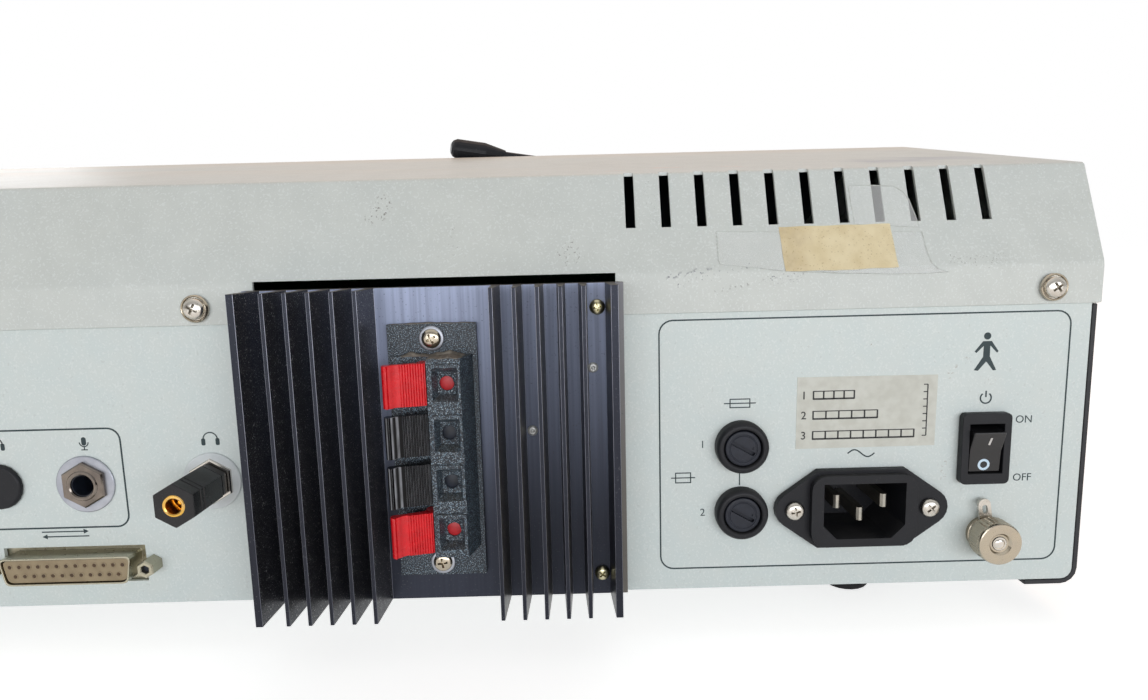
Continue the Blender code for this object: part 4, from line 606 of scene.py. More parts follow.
def piece(name, shape, look, body="case", stands_for=(), smooth=None, bevel=0.0):
    """Make an object that rides on a body, from a shape already in place."""
    mesh = as_mesh(shape, name)
    mesh.materials.append(look)
    made = in_scene(name, mesh)
    if smooth is not None:
        smoothed(mesh, smooth)
    if bevel:
        bevelled(made, bevel, 2, 35)
    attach(made, body)
    if stands_for:
        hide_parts(*stands_for)
    return made


def cut(made, shape, smooth=35):
    """Take a shape out of a piece."""
    cutter = in_scene("cutter", as_mesh(shape, "cutter"))
    boolean = made.modifiers.new("cut", "BOOLEAN")
    boolean.operation = "DIFFERENCE"
    boolean.solver = "EXACT"
    boolean.object = cutter
    result = evaluated(made)
    made.modifiers.clear()
    spent = (made.data, cutter.data)
    made.data = result
    bpy.data.objects.remove(cutter)
    for mesh in spent:
        bpy.data.meshes.remove(mesh)
    smoothed(result, smooth)


def clean_copy(node):
    """A CAD node's shape with its faces merged back into flats."""
    source = nodes[node].data
    shape = bmesh.new()
    corners = [shape.verts.new(v.co) for v in source.vertices]
    for face in source.polygons:
        shape.faces.new([corners[i] for i in face.vertices])
    bmesh.ops.remove_doubles(shape, verts=shape.verts, dist=MERGE)
    bmesh.ops.dissolve_limit(shape, angle_limit=math.radians(FLAT_DEGREES), verts=shape.verts, edges=shape.edges)
    bmesh.ops.recalc_face_normals(shape, faces=shape.faces)
    return shape


def soften(node, width, look, body="case", segments=2, smooth=38):
    """Stand a copy with rounded edges in for a CAD node; the edges' width is in millimetres."""
    made = piece(node + "_soft", clean_copy(node), look, body, (node,), smooth=smooth)
    bevelled(made, width * MM, segments, smooth).harden_normals = True


def tree_of(node):
    data = nodes[node].data
    return BVHTree.FromPolygons([v.co for v in data.vertices], [p.vertices for p in data.polygons])


def seen_from_behind(tree, across, height):
    """Place and normal where a line from behind meets a surface."""
    x, z = spot(across, height)
    return tree.ray_cast(Vector((x, -1, z)), Vector((0, 1, 0)))[:2]


# --- Every node gets its finish ---

for look, names in (
        (BOARD, "amplifier_board control_board main_board"),
        (GREY, "base_tray rear_panel socket_plate"),
        (COVER, "top_cover"),
        (SIDE, "side_panel_left side_panel_right"),
        (SINK, "heat_sink"),
        (BLACK, "blank_plug fuse_cap_lower fuse_cap_upper fuse_holder_lower fuse_holder_upper level_dial_left"
                " level_dial_right mains_inlet microphone_socket power_rocker socket_row switch_bezel talk_microphone"),
        (GLOSS_BLACK, "monitor_adapter terminal_lever_2 terminal_lever_3"),
        (RED, "terminal_lever_1 terminal_lever_4"),
        (NICKEL, "cover_screw_left cover_screw_middle cover_screw_right ground_lug ground_nut ground_stud"
                 " inlet_screw_left inlet_screw_right monitor_jack talk_back_jack terminal_screw_lower"
                 " terminal_screw_upper"),
        (ZINC, "sink_screw_lower sink_screw_upper"),
        (STEEL, "inlet_blade_earth inlet_blade_line inlet_blade_neutral"),
        (SHELL, "serial_jackscrew_left serial_jackscrew_right serial_shell"),
        (MODULE, "display_module"), (GLASS, "display_window"), (FILM_GREY, "operator_panel"),
        (KEYS, "tone_key_left tone_key_right"), (RUBBER, "foot_1 foot_2 foot_3 foot_4"),
        (TAPE, "mains_transformer"), (TAN, "serial_insert"), (SPARKLE, "speaker_terminal")):
    for node in names.split():
        nodes[node].data.materials.clear()
        nodes[node].data.materials.append(look)

for node, width, look, slot, segments in (
        ("top_cover", 0.35, COVER, "grey_paint", 2), ("rear_panel", 0.2, GREY, "grey_paint", 2),
        ("socket_plate", 0.1, GREY, "grey_paint", 2), ("side_panel_left", 0.4, SIDE, "black_paint", 2),
        ("side_panel_right", 0.4, SIDE, "black_paint", 2), ("heat_sink", 0.15, SINK, "black_anodised", 2),
        ("mains_inlet", 0.35, BLACK, "black_plastic", 3), ("switch_bezel", 0.35, BLACK, "black_plastic", 3),
        ("speaker_terminal", 0.25, SPARKLE, "textured_plastic", 2),
        *[("foot_%d" % (i + 1), 0.3, RUBBER, "rubber", 2) for i in range(4)],
        ("socket_row", 0.3, BLACK, "black_plastic", 2), ("blank_plug", 0.3, BLACK, "black_plastic", 2),
        ("serial_shell", 0.12, SHELL, "nickel", 2), ("operator_panel", 0.3, FILM_GREY, "fascia_film", 2)):
    soften(node, width, look, segments=segments)


# --- Prints on the rear, in millimetres ---

def printed(name, shapes, look=INK_DARK):
    return piece(name, together(shapes), look)


def inked(outline, depth=INK):
    return prism([spot(*point) for point in outline], "Y", REAR - depth, REAR + depth)


def inked_line(points, width, depth=INK, closed=False):
    return stroke([spot(*point) for point in points], width * MM, "Y", REAR - depth, REAR + depth, closed)


def lettering(words, height, matrix, depth=INK, bold=0.0):
    """Plain numbers or ON and OFF as thin solid letters, height being that of a capital in millimetres."""
    curve = bpy.data.curves.new("lettering", "FONT")
    curve.body = words
    curve.size = height * MM / CAPITAL
    curve.extrude = depth
    curve.offset = bold
    curve.resolution_u = 4
    curve.align_x = "CENTER"
    holder = in_scene("lettering", curve)
    made = evaluated(holder)
    shape = bmesh.new()
    shape.from_mesh(made)
    bpy.data.objects.remove(holder)
    bpy.data.curves.remove(curve)
    bpy.data.meshes.remove(made)
    return placed(shape, matrix)


def on_rear(across, height):
    return out_of_rear(*spot(across, height))


BOX_MIDDLE, BOX_HALF, BOX_CORNER, LINE = (0.4, 44.4), (60.1, 38.1), 4.2, 0.45
printed("power_box_line", [band(
    [spot(*p) for p in rounded(BOX_HALF[0], BOX_HALF[1], BOX_CORNER, BOX_MIDDLE)],
    [spot(*p) for p in rounded(BOX_HALF[0] - LINE, BOX_HALF[1] - LINE, BOX_CORNER - LINE, BOX_MIDDLE)],
    "Y", REAR - INK, REAR + INK)])

plate_half = (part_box("socket_plate")[1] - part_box("socket_plate")[0]) / 2
PLATE_CORNER = 3.5 * MM
printed("socket_box_line", [band(*[
    rounded(plate_half.x + more, plate_half.z + more, PLATE_CORNER + more, middle("socket_plate"))
    for more in (0.38 * MM, -0.12 * MM)], "Y", REAR - INK, REAR + INK)])

# Standing figure, joining line of the fuses, and plain signs
HEAD = (36.2, 75.4)
FIGURE = ((-1.2, -1.5), (-3.55, -4.5), (-3.05, -4.95), (-0.95, -2.85), (-1.0, -6.1), (-3.5, -10.05), (-2.3, -10.2),
          (0.0, -7.5), (2.1, -10.2), (3.05, -10.1), (0.95, -6.0), (0.95, -2.8), (3.0, -4.95), (3.45, -4.55),
          (1.3, -1.5))
printed("standing_figure", [inked([(HEAD[0] + a, HEAD[1] + b) for a, b in FIGURE]), inked(circle(1.05, 24, HEAD))])
printed("fuse_link", [inked_line([(-35.75, 36.15), (-35.75, 32.3)], 0.35)])


def fuse_sign(across, height, width, tall):
    half = width / 2
    box = [(across + x * half * 0.62, height + z * tall / 2) for x, z in ((1, 1), (-1, 1), (-1, -1), (1, -1))]
    return [inked_line(box, 0.32, closed=True), inked_line([(across - half, height), (across + half, height)], 0.32)]


def power_sign(across, height, radius):
    return [inked_line(arc((across, height), radius, 128, 412), 0.42),
            inked_line([(across, height + radius * 1.35), (across, height + radius * 0.15)], 0.42)]


def wave_sign(across, height, width, rise):
    points = [(across + width * (i / 16 - 0.5), height + rise * math.sin(2 * math.pi * i / 16)) for i in range(17)]
    return [inked_line(points, 0.4)]


def headphone_sign(across, height, size):
    cups = [inked(rounded(size * 0.28, size * 0.5, size * 0.2, (across + side * size, height - size * 0.55)))
            for side in (-1, 1)]
    return cups + [inked_line(arc((across, height - size * 0.2), size, 0, 180), 0.35)]


def microphone_sign(across, height, size):
    return [inked(rounded(size * 0.36, size * 0.66, size * 0.34, (across, height + size * 0.35))),
            inked_line(arc((across, height + size * 0.2), size * 0.68, 180, 360), 0.3),
            inked_line([(across, height - size * 0.45), (across, height - size)], 0.3),
            inked_line([(across - size * 0.5, height - size), (across + size * 0.5, height - size)], 0.3)]


def arrows_sign(across, height, width):
    shapes = []
    for side in (-1, 1):
        level = height + side * 0.75
        tip = across + side * width / 2
        shapes.append(inked_line([(across - side * width / 2, level), (tip - side * 1.4, level)], 0.36))
        shapes.append(inked([(tip, level), (tip - side * 1.5, level + 0.75), (tip - side * 1.5, level - 0.75)]))
    return shapes


printed("fuse_sign", fuse_sign(-35.8, 57.3, 9.4, 2.5))
printed("fuse_type_sign", fuse_sign(-52.6, 35.0, 7.2, 3.0))
printed("power_sign", power_sign(36.7, 57.0, 1.6))
printed("mains_sign", wave_sign(0.4, 41.2, 8.0, 1.1))
printed("monitor_sign", headphone_sign(-192.0, 51.0, 2.1))
printed("talk_back_sign", microphone_sign(-229.2, 50.3, 1.9))
printed("blank_sign", headphone_sign(-255.2, 51.0, 2.1))
printed("serial_sign", arrows_sign(-238.0, 22.6, 14.0))
for words, across, height in (("ON", 48.4, 50.4), ("OFF", 48.9, 32.6), ("1", -46.8, 45.2), ("2", -46.8, 24.2)):
    printed("print_" + words.lower(), [lettering(words, 2.3, on_rear(across, height - 1.15))])
printed("socket_numbers", [lettering(str(i + 1), 2.4, on_rear(-280.4 - 25.2 * i, 48.3)) for i in range(4)])


# --- Labels and tape ---

LABEL = ((-19.0, 64.6), (22.3, 64.4), (22.1, 43.1), (-19.2, 43.0))
OVER_LABEL = FILM + INK
piece("rating_label", inked(LABEL, FILM), PAPER, bevel=0.03 * MM)
rows = []
for number, height, length in ((1, 58.0, 16.0), (2, 52.0, 23.0), (3, 45.9, 34.0)):
    rows.append(lettering(str(number), 2.4, on_rear(-17.0, height), OVER_LABEL, 0.02 * MM))
    for rise, width in ((0.0, 0.5), (2.3, 0.28)):
        rows.append(inked_line([(-14.2, height + rise), (-18.2 + length, height + rise)], width, OVER_LABEL))
    ticks = int(length / 4)
    for i in range(ticks + 1):
        across = -14.2 + (length - 4) * i / ticks
        rows.append(inked_line([(across, height - 0.2), (across, height + 2.4)], 0.45, OVER_LABEL))
rows.append(inked_line([(19.4, 46.2), (19.4, 61.6)], 0.34, OVER_LABEL))
rows += [inked_line([(18.2, 46.2 + 2.2 * i), (19.4, 46.2 + 2.2 * i)], 0.3, OVER_LABEL) for i in range(8)]
printed("label_rules", rows, INK_BLACK)

SLANT_POINT, SLANT_NORMAL = seen_from_behind(tree_of("top_cover"), -45.0, 100.0)


def on_slant(across, height, proud):
    """Point of the cover's slanted rear face at a place counted as on the rear panel."""
    x, z = spot(across, height)
    y = SLANT_POINT.y - (SLANT_NORMAL.z * (z - SLANT_POINT.z) + SLANT_NORMAL.x * (x - SLANT_POINT.x)) / SLANT_NORMAL.y
    return Vector((x, y, z)) + SLANT_NORMAL * proud * MM


def ragged(points, bite, step=1.2):
    """The same outline with a slightly torn edge."""
    out = []
    for (x0, z0), (x1, z1) in zip(points, points[1:] + points[:1]):
        length = math.hypot(x1 - x0, z1 - z0)
        count = max(1, int(length / step))
        for i in range(count):
            share = i / count
            away = bite * math.sin(37.0 * (x0 + i) + 11.0 * z0) * (i > 0)
            out.append((x0 + (x1 - x0) * share - away * (z1 - z0) / length,
                        z0 + (z1 - z0) * share + away * (x1 - x0) / length))
    return out


def film(outline, low, high):
    return loft([[on_slant(x, z, level) for x, z in outline] for level in (low, high)])


def film_edge(outline, width, low, high):
    """A dirty line along the edge of a film."""
    heart = (sum(x for x, z in outline) / len(outline), sum(z for x, z in outline) / len(outline))
    inner = []
    for x, z in outline:
        away = Vector((heart[0] - x, heart[1] - z)).normalized() * width
        inner.append((x + away.x, z + away.y))
    return strip(outline, inner, low, high, on_slant)


LONG_TAPE = ([(17.0, 105.9), (-14.0, 106.6), (-42.5, 107.4)]
             + [(-42.6 + 0.35 * (i % 2), 107.0 - 0.55 * i) for i in range(16)]
             + [(-42.1, 98.0), (-33.0, 96.9), (-24.0, 95.7), (-10.0, 94.8), (4.1, 94.2), (14.0, 94.0), (23.1, 94.3),
                (20.4, 95.2), (18.6, 97.0), (17.9, 99.4)])
SHORT_TAPE = [(-2.8, 119.9), (4.0, 119.8), (10.6, 119.4), (13.2, 117.6), (14.6, 115.4), (15.6, 111.6), (16.5, 107.1),
              (-2.2, 108.5), (-2.6, 114.0)]
CREAM_LABEL = [(-24.2, 108.2), (-8.0, 108.3), (8.0, 108.4), (8.4, 102.0), (8.9, 96.0), (-8.0, 95.6), (-23.4, 95.6),
               (-23.9, 102.0)]
piece("long_tape", film(ragged(LONG_TAPE, 0.05), -0.04, 0.06), FILM_CLEAR)
piece("short_tape", film(ragged(SHORT_TAPE, 0.05), -0.04, 0.05), FILM_CLEAR)
piece("long_tape_edge", film_edge(ragged(LONG_TAPE, 0.05), 0.3, 0.02, 0.08), TAPE_EDGE)
piece("short_tape_edge", film_edge(ragged(SHORT_TAPE, 0.05), 0.22, 0.02, 0.07), TAPE_EDGE)
piece("cream_label", film(ragged(CREAM_LABEL, 0.07), 0.04, 0.16), CREAM)


# --- Screws, in millimetres ---

def cross_recess(reach, width, depth):
    half = width / 2
    plus = [(half, half), (half, reach), (-half, reach), (-half, half), (-reach, half), (-reach, -half),
            (-half, -half), (-half, -reach), (half, -reach), (half, -half), (reach, -half), (reach, half)]
    return loft([[(x * share * MM, y * share * MM, level * MM) for x, y in plus]
                 for share, level in ((0.5, -depth), (1.06, depth * 0.12))])


def phillips(node, head, rise, look, turn, washer=0.0, sheet=0.0, ring=None):
    """A pan head with a cross recess in place of a CAD screw, with its washer if it has one."""
    low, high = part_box(node)
    back = (low.y - high.y) / MM
    bend = [(0, 0), (0.4, -0.04), (0.65, -0.13), (0.82, -0.28), (0.94, -0.5), (1.0, -0.76), (0.98, -1.0)]
    profile = [(head * r, rise * h) for r, h in bend]
    if washer:
        profile += [(washer * 0.97, -rise), (washer, -rise - 0.2 * sheet), (washer, -rise - sheet)]
    profile += [(head * 0.5, -rise - sheet), (head * 0.5, back), (0, back)]
    matrix = out_of_rear(*middle(node), REAR - low.y) @ spun(turn)
    made = piece(node + "_head", lathe(profile, 40, matrix), look, "case", (node,), smooth=40)
    cut(made, placed(cross_recess(head * 0.56, head * 0.24, rise * 0.62), matrix))
    if ring:
        radius, width, thick = ring
        hoop = [(radius, -rise), (radius + width * 0.2, -rise + thick * 0.8), (radius + width * 0.5, -rise + thick),
                (radius + width * 0.85, -rise + thick * 0.6), (radius + width, -rise)]
        piece(node + "_ring", lathe(hoop, 40, matrix, ring=True), POST_NICKEL, smooth=50)


for label, turn in (("left", 20), ("middle", 63), ("right", 35)):
    phillips("cover_screw_" + label, 3.1, 1.9, NICKEL, turn, 3.9, 0.7, (3.25, 0.75, 0.5))
for node, head, look, turn in (
        ("sink_screw_upper", 2.2, ZINC, 12), ("sink_screw_lower", 2.2, ZINC, 50),
        ("terminal_screw_upper", 2.8, POST_NICKEL, 28), ("terminal_screw_lower", 2.8, POST_NICKEL, 8),
        ("inlet_screw_left", 2.8, NICKEL, 10), ("inlet_screw_right", 2.8, NICKEL, 40)):
    phillips(node, head, 1.5, look, turn)
for node in ("terminal_screw_upper", "terminal_screw_lower"):
    hoop = [(2.3, 0), (2.3, 0.4), (3.3, 0.42), (3.5, 0.26), (3.55, 0)]
    matrix = out_of_rear(*middle(node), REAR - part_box(node)[0].y - 1.5 * MM)
    piece(node + "_washer", lathe(hoop, 40, matrix, ring=True), ZINC_GREY, smooth=50)

# Two small bright rivet heads between the fins
for name, across, height in (("sink_rivet_upper", 44.6, 68.5), ("sink_rivet_lower", 26.8, 50.5)):
    head = [(0, 0.95), (0.45, 0.92), (0.6, 0.74), (0.78, 0.8), (1.2, 0.6), (1.5, 0.25), (1.55, -0.3), (0, -0.3)]
    low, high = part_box("heat_sink")
    matrix = out_of_rear(SINK_X + across * MM, low.z + height * MM, REAR - high.y + 4.2 * MM)
    piece(name, lathe(head, 24, matrix), TIN, smooth=50)


# --- Speaker terminal ---

terminal_low, terminal_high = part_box("speaker_terminal")
BLOCK_FRONT = terminal_low.y
TERMINAL_X = middle("terminal_screw_upper")[0]
FUNNEL_X = TERMINAL_X + 4.6 * MM


def funnel(height, index):
    """Raised frame, sloping walls and the hole with what shows behind it."""
    label = str(index + 1)
    at_cell = (FUNNEL_X, height)
    outer = rounded(4.3 * MM, 5.7 * MM, 1.0 * MM, at_cell)
    lip = rounded(3.45 * MM, 4.55 * MM, 0.5 * MM, at_cell)
    frame_front = BLOCK_FRONT - 0.7 * MM
    piece("funnel_frame_" + label, band(outer, lip, "Y", frame_front, BLOCK_FRONT + 0.3 * MM), SPARKLE, "case",
          smooth=35, bevel=0.16 * MM)
    hole_at = (FUNNEL_X - 0.2 * MM, height - 0.35 * MM)
    hole = circle(2.05 * MM, len(lip), hole_at, math.atan2(lip[0][1] - height, lip[0][0] - FUNNEL_X))
    floor = rounded(2.6 * MM, 3.2 * MM, 0.5 * MM, (FUNNEL_X, height - 0.2 * MM))
    deep = BLOCK_FRONT + 3.8 * MM
    walls = [(lip, frame_front + 0.12 * MM), (floor, deep - 0.6 * MM), (hole, deep), (hole, deep + 0.9 * MM),
             (scaled(floor, 1.1, at_cell), deep + 0.9 * MM), (scaled(lip, 1.02, at_cell), frame_front + 0.5 * MM)]
    piece("funnel_" + label, loft([[(x, y, z) for x, z in line] for line, y in walls], closed=True), SPARKLE, "case",
          smooth=30)
    behind = [(0, 0), (1.9, -0.05), (2.4, -0.3), (2.4, -1.2), (0, -1.2)]
    matrix = out_of_rear(hole_at[0], hole_at[1], REAR - deep - 0.5 * MM)
    piece("funnel_core_" + label, lathe(behind, 24, matrix), LIVE_RED if index in (0, 3) else DARK_HOLE, smooth=40)


def lever(node, look, body):
    """Ribbed thumb lever with a smooth hooked nose."""
    low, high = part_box(node)
    hinge_x, hinge_y = high.x - EYE * MM, high.y - EYE * MM
    front = [(1.25, -3.9)]
    ribs, start, end = 9, 0.9, -5.3
    pitch = (end - start) / ribs
    for i in range(ribs):
        for share, drop in ((0.0, 0.34), (0.16, 0.04), (0.5, 0.0), (0.84, 0.04)):
            x = start + pitch * (i + share)
            front.append((x, -(4.0 + 0.22 * (start - x)) - 0.3 + drop))
    front += [(-5.45, -5.35), (-6.1, -5.5), (-6.8, -5.85), (-7.3, -6.35), (-7.75, -6.95), (-8.2, -7.2)]
    nose = arc(((low.x - hinge_x) / MM + NOSE, -6.0), NOSE, -100, -212, 7)
    back = [(-8.0, -4.6), (-4.2, -3.3), (-1.4, -2.2), (-1.3, -1.3)]
    eye = arc((0, 0), EYE, 220, 0, 8)
    outline = [(hinge_x + x * MM, hinge_y + y * MM) for x, y in front + nose + back + eye]
    level = (low.z + high.z) / 2
    shape = prism(outline, "Z", level - LEVER_HALF, level + LEVER_HALF)
    piece(node + "_finger", shape, look, body, (node,), smooth=30, bevel=0.12 * MM)


for index in range(4):
    node = "terminal_lever_%d" % (index + 1)
    funnel(middle(node)[1], index)
    look, slot = (RED, "red_plastic") if index in (0, 3) else (LEVER_BLACK, "black_plastic")
    lever(node, look, "lever_%d" % (index + 1))


def dust_heap(name, low_x, high_x, back, front, height, thick, seed):
    """A felt of dust lying on a ledge."""
    rows, steps = [], 18
    for i in range(steps + 1):
        share = i / steps
        x = low_x + (high_x - low_x) * share
        swell = thick * MM * (0.55 + 0.3 * math.sin(seed + 9 * share) + 0.15 * math.sin(seed * 3 + 31 * share))
        swell *= min(1.0, 6 * share + 0.15, 6 * (1 - share) + 0.15)
        edge = front + 0.12 * (front - back) * math.sin(seed + 14 * share)
        rows.append([(x, back, height - 0.05 * MM), (x, back, height + swell * 0.8),
                     (x, (back + front) / 2, height + swell), (x, edge, height + swell * 0.4),
                     (x, edge, height - 0.05 * MM)])
    piece(name, loft(rows), DUST, smooth=60)


block_top = middle("terminal_lever_1")[1] + 7.05 * MM
plate_face = BLOCK_FRONT + 8.2 * MM
dust_heap("dust_on_block", TERMINAL_X - 8.4 * MM, TERMINAL_X + 9.2 * MM, plate_face - 0.1 * MM,
          plate_face - 2.6 * MM, block_top, 1.5, 1.0)
dust_heap("dust_on_block_edge", TERMINAL_X - 0.2 * MM, TERMINAL_X + 9.0 * MM, plate_face - 2.4 * MM,
          BLOCK_FRONT + 0.4 * MM, block_top, 0.8, 2.3)
dust_heap("dust_on_plate", terminal_low.x + 0.5 * MM, terminal_high.x - 0.5 * MM, plate_face + 1.6 * MM,
          plate_face + 0.1 * MM, terminal_high.z, 0.45, 4.1)


# --- Fuses, switch and ground post ---

def fuse(label):
    """Ring of a holder and its cap, with a slot and an arrow sunk in."""
    holder, cap = "fuse_holder_" + label, "fuse_cap_" + label
    back = (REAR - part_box(holder)[1].y) / MM
    profile = [(0, back), (5.6, back), (6.0, back + 1), (6.0, -0.1), (7.75, 0.0), (7.75, 2.5), (7.62, 3.1), (7.3, 3.6),
               (6.9, 3.9), (6.4, 4.0), (6.0, 3.95), (5.72, 3.7), (5.6, 3.3), (5.6, -3.0), (4.6, -3.0),
               (4.6, back + 1), (0, back + 1)]
    ring = lathe(profile, 64, out_of_rear(*middle(holder), PROUD))
    piece(holder + "_ring", ring, BLACK, "case", (holder,), smooth=28)
    low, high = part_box(cap)
    depth = (high.y - low.y) / MM
    profile = [(0, 0), (3.7, 0), (3.85, -0.16), (4.1, -0.16), (4.25, 0), (4.8, 0), (5.1, -0.12), (5.28, -0.5),
               (5.3, -0.9), (5.3, -depth), (0, -depth)]
    matrix = out_of_rear(*middle(holder), REAR - low.y)
    made = piece(cap + "_face", lathe(profile, 56, matrix), CAP_BLACK, cap, (cap,), smooth=28)
    slot = prism(rounded(3.8 * MM, 0.6 * MM, 0.5 * MM), "Z", -1.2 * MM, 0.5 * MM)
    arrow = prism([(2.0 * MM, 1.2 * MM), (2.7 * MM, 1.0 * MM), (2.4 * MM, 1.9 * MM)], "Z", -0.25 * MM, 0.5 * MM)
    cut(made, placed(together([slot, arrow]), matrix @ spun(-30)), 28)


fuse("upper")
fuse("lower")


def on_rocker(across, height):
    """Matrix that lays a mark on the rocker's curved face."""
    place, normal = seen_from_behind(tree_of("power_rocker"), across, height)
    side = Vector((1, 0, 0))
    return Matrix.Translation(place) @ Matrix((side, normal.cross(side), normal)).transposed().to_4x4()


ring_mark = band(circle(1.75 * MM, 32), circle(1.05 * MM, 32), "Z", -0.05 * MM, 0.07 * MM)
piece("rocker_ring_mark", placed(ring_mark, on_rocker(35.9, 37.4)), MARK_BLUE, "rocker")
line_mark = prism(rounded(0.3 * MM, 1.25 * MM, 0.2 * MM), "Z", -0.05 * MM, 0.07 * MM)
line_place = on_rocker(36.7, 44.8) @ Matrix.Rotation(-0.12, 4, "Z")
piece("rocker_line_mark", placed(line_mark, line_place), MARK_WHITE, "rocker")
soften("power_rocker", 0.35, ROCKER_BLACK, "rocker", 3)

nut_low, nut_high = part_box("ground_nut")
GROUND_POST = middle("ground_nut")


def knurled_nut():
    """Round nut with fine teeth between two plain edges, and a recess round its bore."""
    teeth = 72
    inner = (nut_low.y - nut_high.y) / MM
    rows = []
    for radius, level, notch in (
            (2.15, inner, 0), (5.9, inner, 0), (6.25, inner + 0.35, 0), (6.25, inner + 0.75, 0),
            (6.4, inner + 0.8, 0.22), (6.4, -1.15, 0.22), (6.25, -1.1, 0), (6.28, -0.5, 0), (6.15, -0.12, 0),
            (5.9, 0, 0), (3.3, 0, 0), (3.15, -0.12, 0), (2.7, -0.75, 0), (2.15, -0.8, 0)):
        ring = []
        for i in range(teeth):
            away = (radius - (notch if i % 2 else 0)) * MM
            angle = 2 * math.pi * i / teeth
            ring.append((away * math.cos(angle), away * math.sin(angle), level * MM))
        rows.append(ring)
    return loft(rows, closed=True)


piece("ground_nut_knurled", placed(knurled_nut(), out_of_rear(*GROUND_POST, REAR - nut_low.y)), POST_NICKEL, "nut",
      ("ground_nut",), smooth=25)
stud_end = [(0, 0.35), (0.9, 0.28), (1.5, 0.05), (1.7, -0.3), (1.7, -3.0), (0, -3.0)]
stud_place = out_of_rear(*GROUND_POST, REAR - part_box("ground_stud")[0].y)
piece("ground_stud_end", lathe(stud_end, 28, stud_place), CHROME, smooth=40)
collar = [(2.3, 0), (5.2, 0), (5.2, 1.2), (4.9, 1.4), (2.3, 1.4)]
collar_place = out_of_rear(*GROUND_POST, 0.02 * MM)
piece("ground_post_collar", lathe(collar, 48, collar_place, ring=True), POST_NICKEL, smooth=30)


# --- Jacks, adapter and serial socket, in millimetres ---

def hex_bar(steps, matrix, ring=True):
    """Hexagonal bar or ring with slightly rounded corners, from steps of (radius, height)."""
    rows = []
    for radius, level in steps:
        row = []
        for corner in range(6):
            angle = math.pi / 2 + math.pi / 3 * corner
            for shift, pull in ((-0.05, 0.965), (0.0, 0.985), (0.05, 0.965)):
                away = radius * pull * MM
                row.append((away * math.cos(angle + shift), away * math.sin(angle + shift), level * MM))
        rows.append(row)
    return placed(loft(rows, closed=ring), matrix)


def jack(node, washer, washer_look, nut_look, washer_radius):
    """Washer, hexagonal nut, bush and dark sleeve of a quarter-inch socket."""
    ring = [(4.0, 0), (washer_radius, 0), (washer_radius, 0.4), (washer_radius - 0.25, 0.6), (4.0, 0.62)]
    matrix = out_of_rear(*middle(node), PROUD)
    piece(washer, lathe(ring, 64, matrix, ring=True), washer_look, "case", (node,), smooth=30)
    nut = ((3.9, 0.55), (7.05, 0.55), (7.05, 1.45), (6.6, 1.9), (4.75, 1.95), (3.9, 1.95))
    piece(node + "_nut", hex_bar(nut, matrix), nut_look, "case", smooth=25)
    bush = [(3.3, 0.3), (4.55, 0.3), (4.55, 2.0), (4.3, 2.3), (3.7, 2.35), (3.35, 2.1), (3.3, 1.8)]
    piece(node + "_bush", lathe(bush, 48, matrix, ring=True), nut_look, smooth=30)
    sleeve = [(0, -34), (7.4, -34), (7.4, -2), (3.3, -2), (3.34, 1.6), (3.05, 1.6), (3.0, -29.6), (0, -29.6)]
    piece(node + "_sleeve", lathe(sleeve, 40, matrix), DARK_HOLE, smooth=30)


jack("talk_back_jack", "talk_back_washer", ZINC_GREY, DARK_CHROME, 8.6)
MONITOR = middle("monitor_jack")
on_plate, at_axis = out_of_rear(*MONITOR, PROUD), out_of_rear(*MONITOR)
washer = [(4.0, 0), (8.62, 0), (8.62, 0.35), (8.4, 0.62), (8.0, 0.64), (7.9, 0.61), (4.0, 0.62)]
piece("monitor_washer", lathe(washer, 64, on_plate, ring=True), PALE_RING, "case", ("monitor_jack",),
      smooth=30)
barrel = [(3.4, -34), (7.4, -34), (7.4, -2), (4.5, -2), (4.5, 0.4), (3.4, 0.4)]
piece("monitor_jack_barrel", lathe(barrel, 48, on_plate, ring=True), DARK_HOLE, smooth=30)
monitor_nut = ((4.0, 0.6), (7.05, 0.6), (7.05, 1.35), (6.7, 1.78), (4.0, 1.78))
piece("monitor_nut", hex_bar(monitor_nut, on_plate), CHROME, "case", smooth=25)

tail, tip = 2.0, (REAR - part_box("monitor_adapter")[0].y) / MM
body_steps = ((0.6, tail), (5.75, tail), (5.95, tail + 0.3), (5.95, tail + 2.6), (5.6, tail + 2.9), (5.6, tail + 3.3),
              (6.3, tail + 3.6), (6.3, tip - 6.1), (6.0, tip - 5.9), (6.0, tip - 5.5), (6.3, tip - 5.3),
              (6.3, tip - 4.3), (6.0, tip - 4.1), (6.0, tip - 3.7), (6.3, tip - 3.5), (6.3, tip - 0.25), (6.1, tip),
              (0.6, tip))
adapter = piece("adapter_sleeve", hex_bar(body_steps, at_axis, ring=False), GLOSS_BLACK, "adapter",
                ("monitor_adapter",), smooth=25)
cut(adapter, lathe([(0, tip - 13), (2.6, tip - 13), (2.6, tip + 1), (0, tip + 1)], 40, at_axis), 25)
gilt = [(2.05, tip - 11), (2.05, tip - 0.2), (2.2, tip + 0.15), (2.5, tip + 0.32), (2.85, tip + 0.28),
        (3.05, tip + 0.05), (3.05, tip - 0.05), (2.58, tip - 0.05), (2.58, tip - 11)]
piece("adapter_gilt_ring", lathe(gilt, 48, at_axis, ring=True), BRASS, "adapter", smooth=35)
spring = [(0, tip - 10.6), (1.1, tip - 10.6), (1.0, tip - 5.5), (0.6, tip - 4.6), (0, tip - 4.4)]
spring_place = out_of_rear(MONITOR[0] - 0.9 * MM, MONITOR[1] - 0.7 * MM)
piece("adapter_spring", lathe(spring, 20, spring_place), BRASS, "adapter", smooth=40)
plug = [(0, -26.5), (1.2, -26.5), (2.6, -24.6), (1.9, -22.3), (3.0, -21.0), (3.0, tail + 0.4), (0, tail + 0.4)]
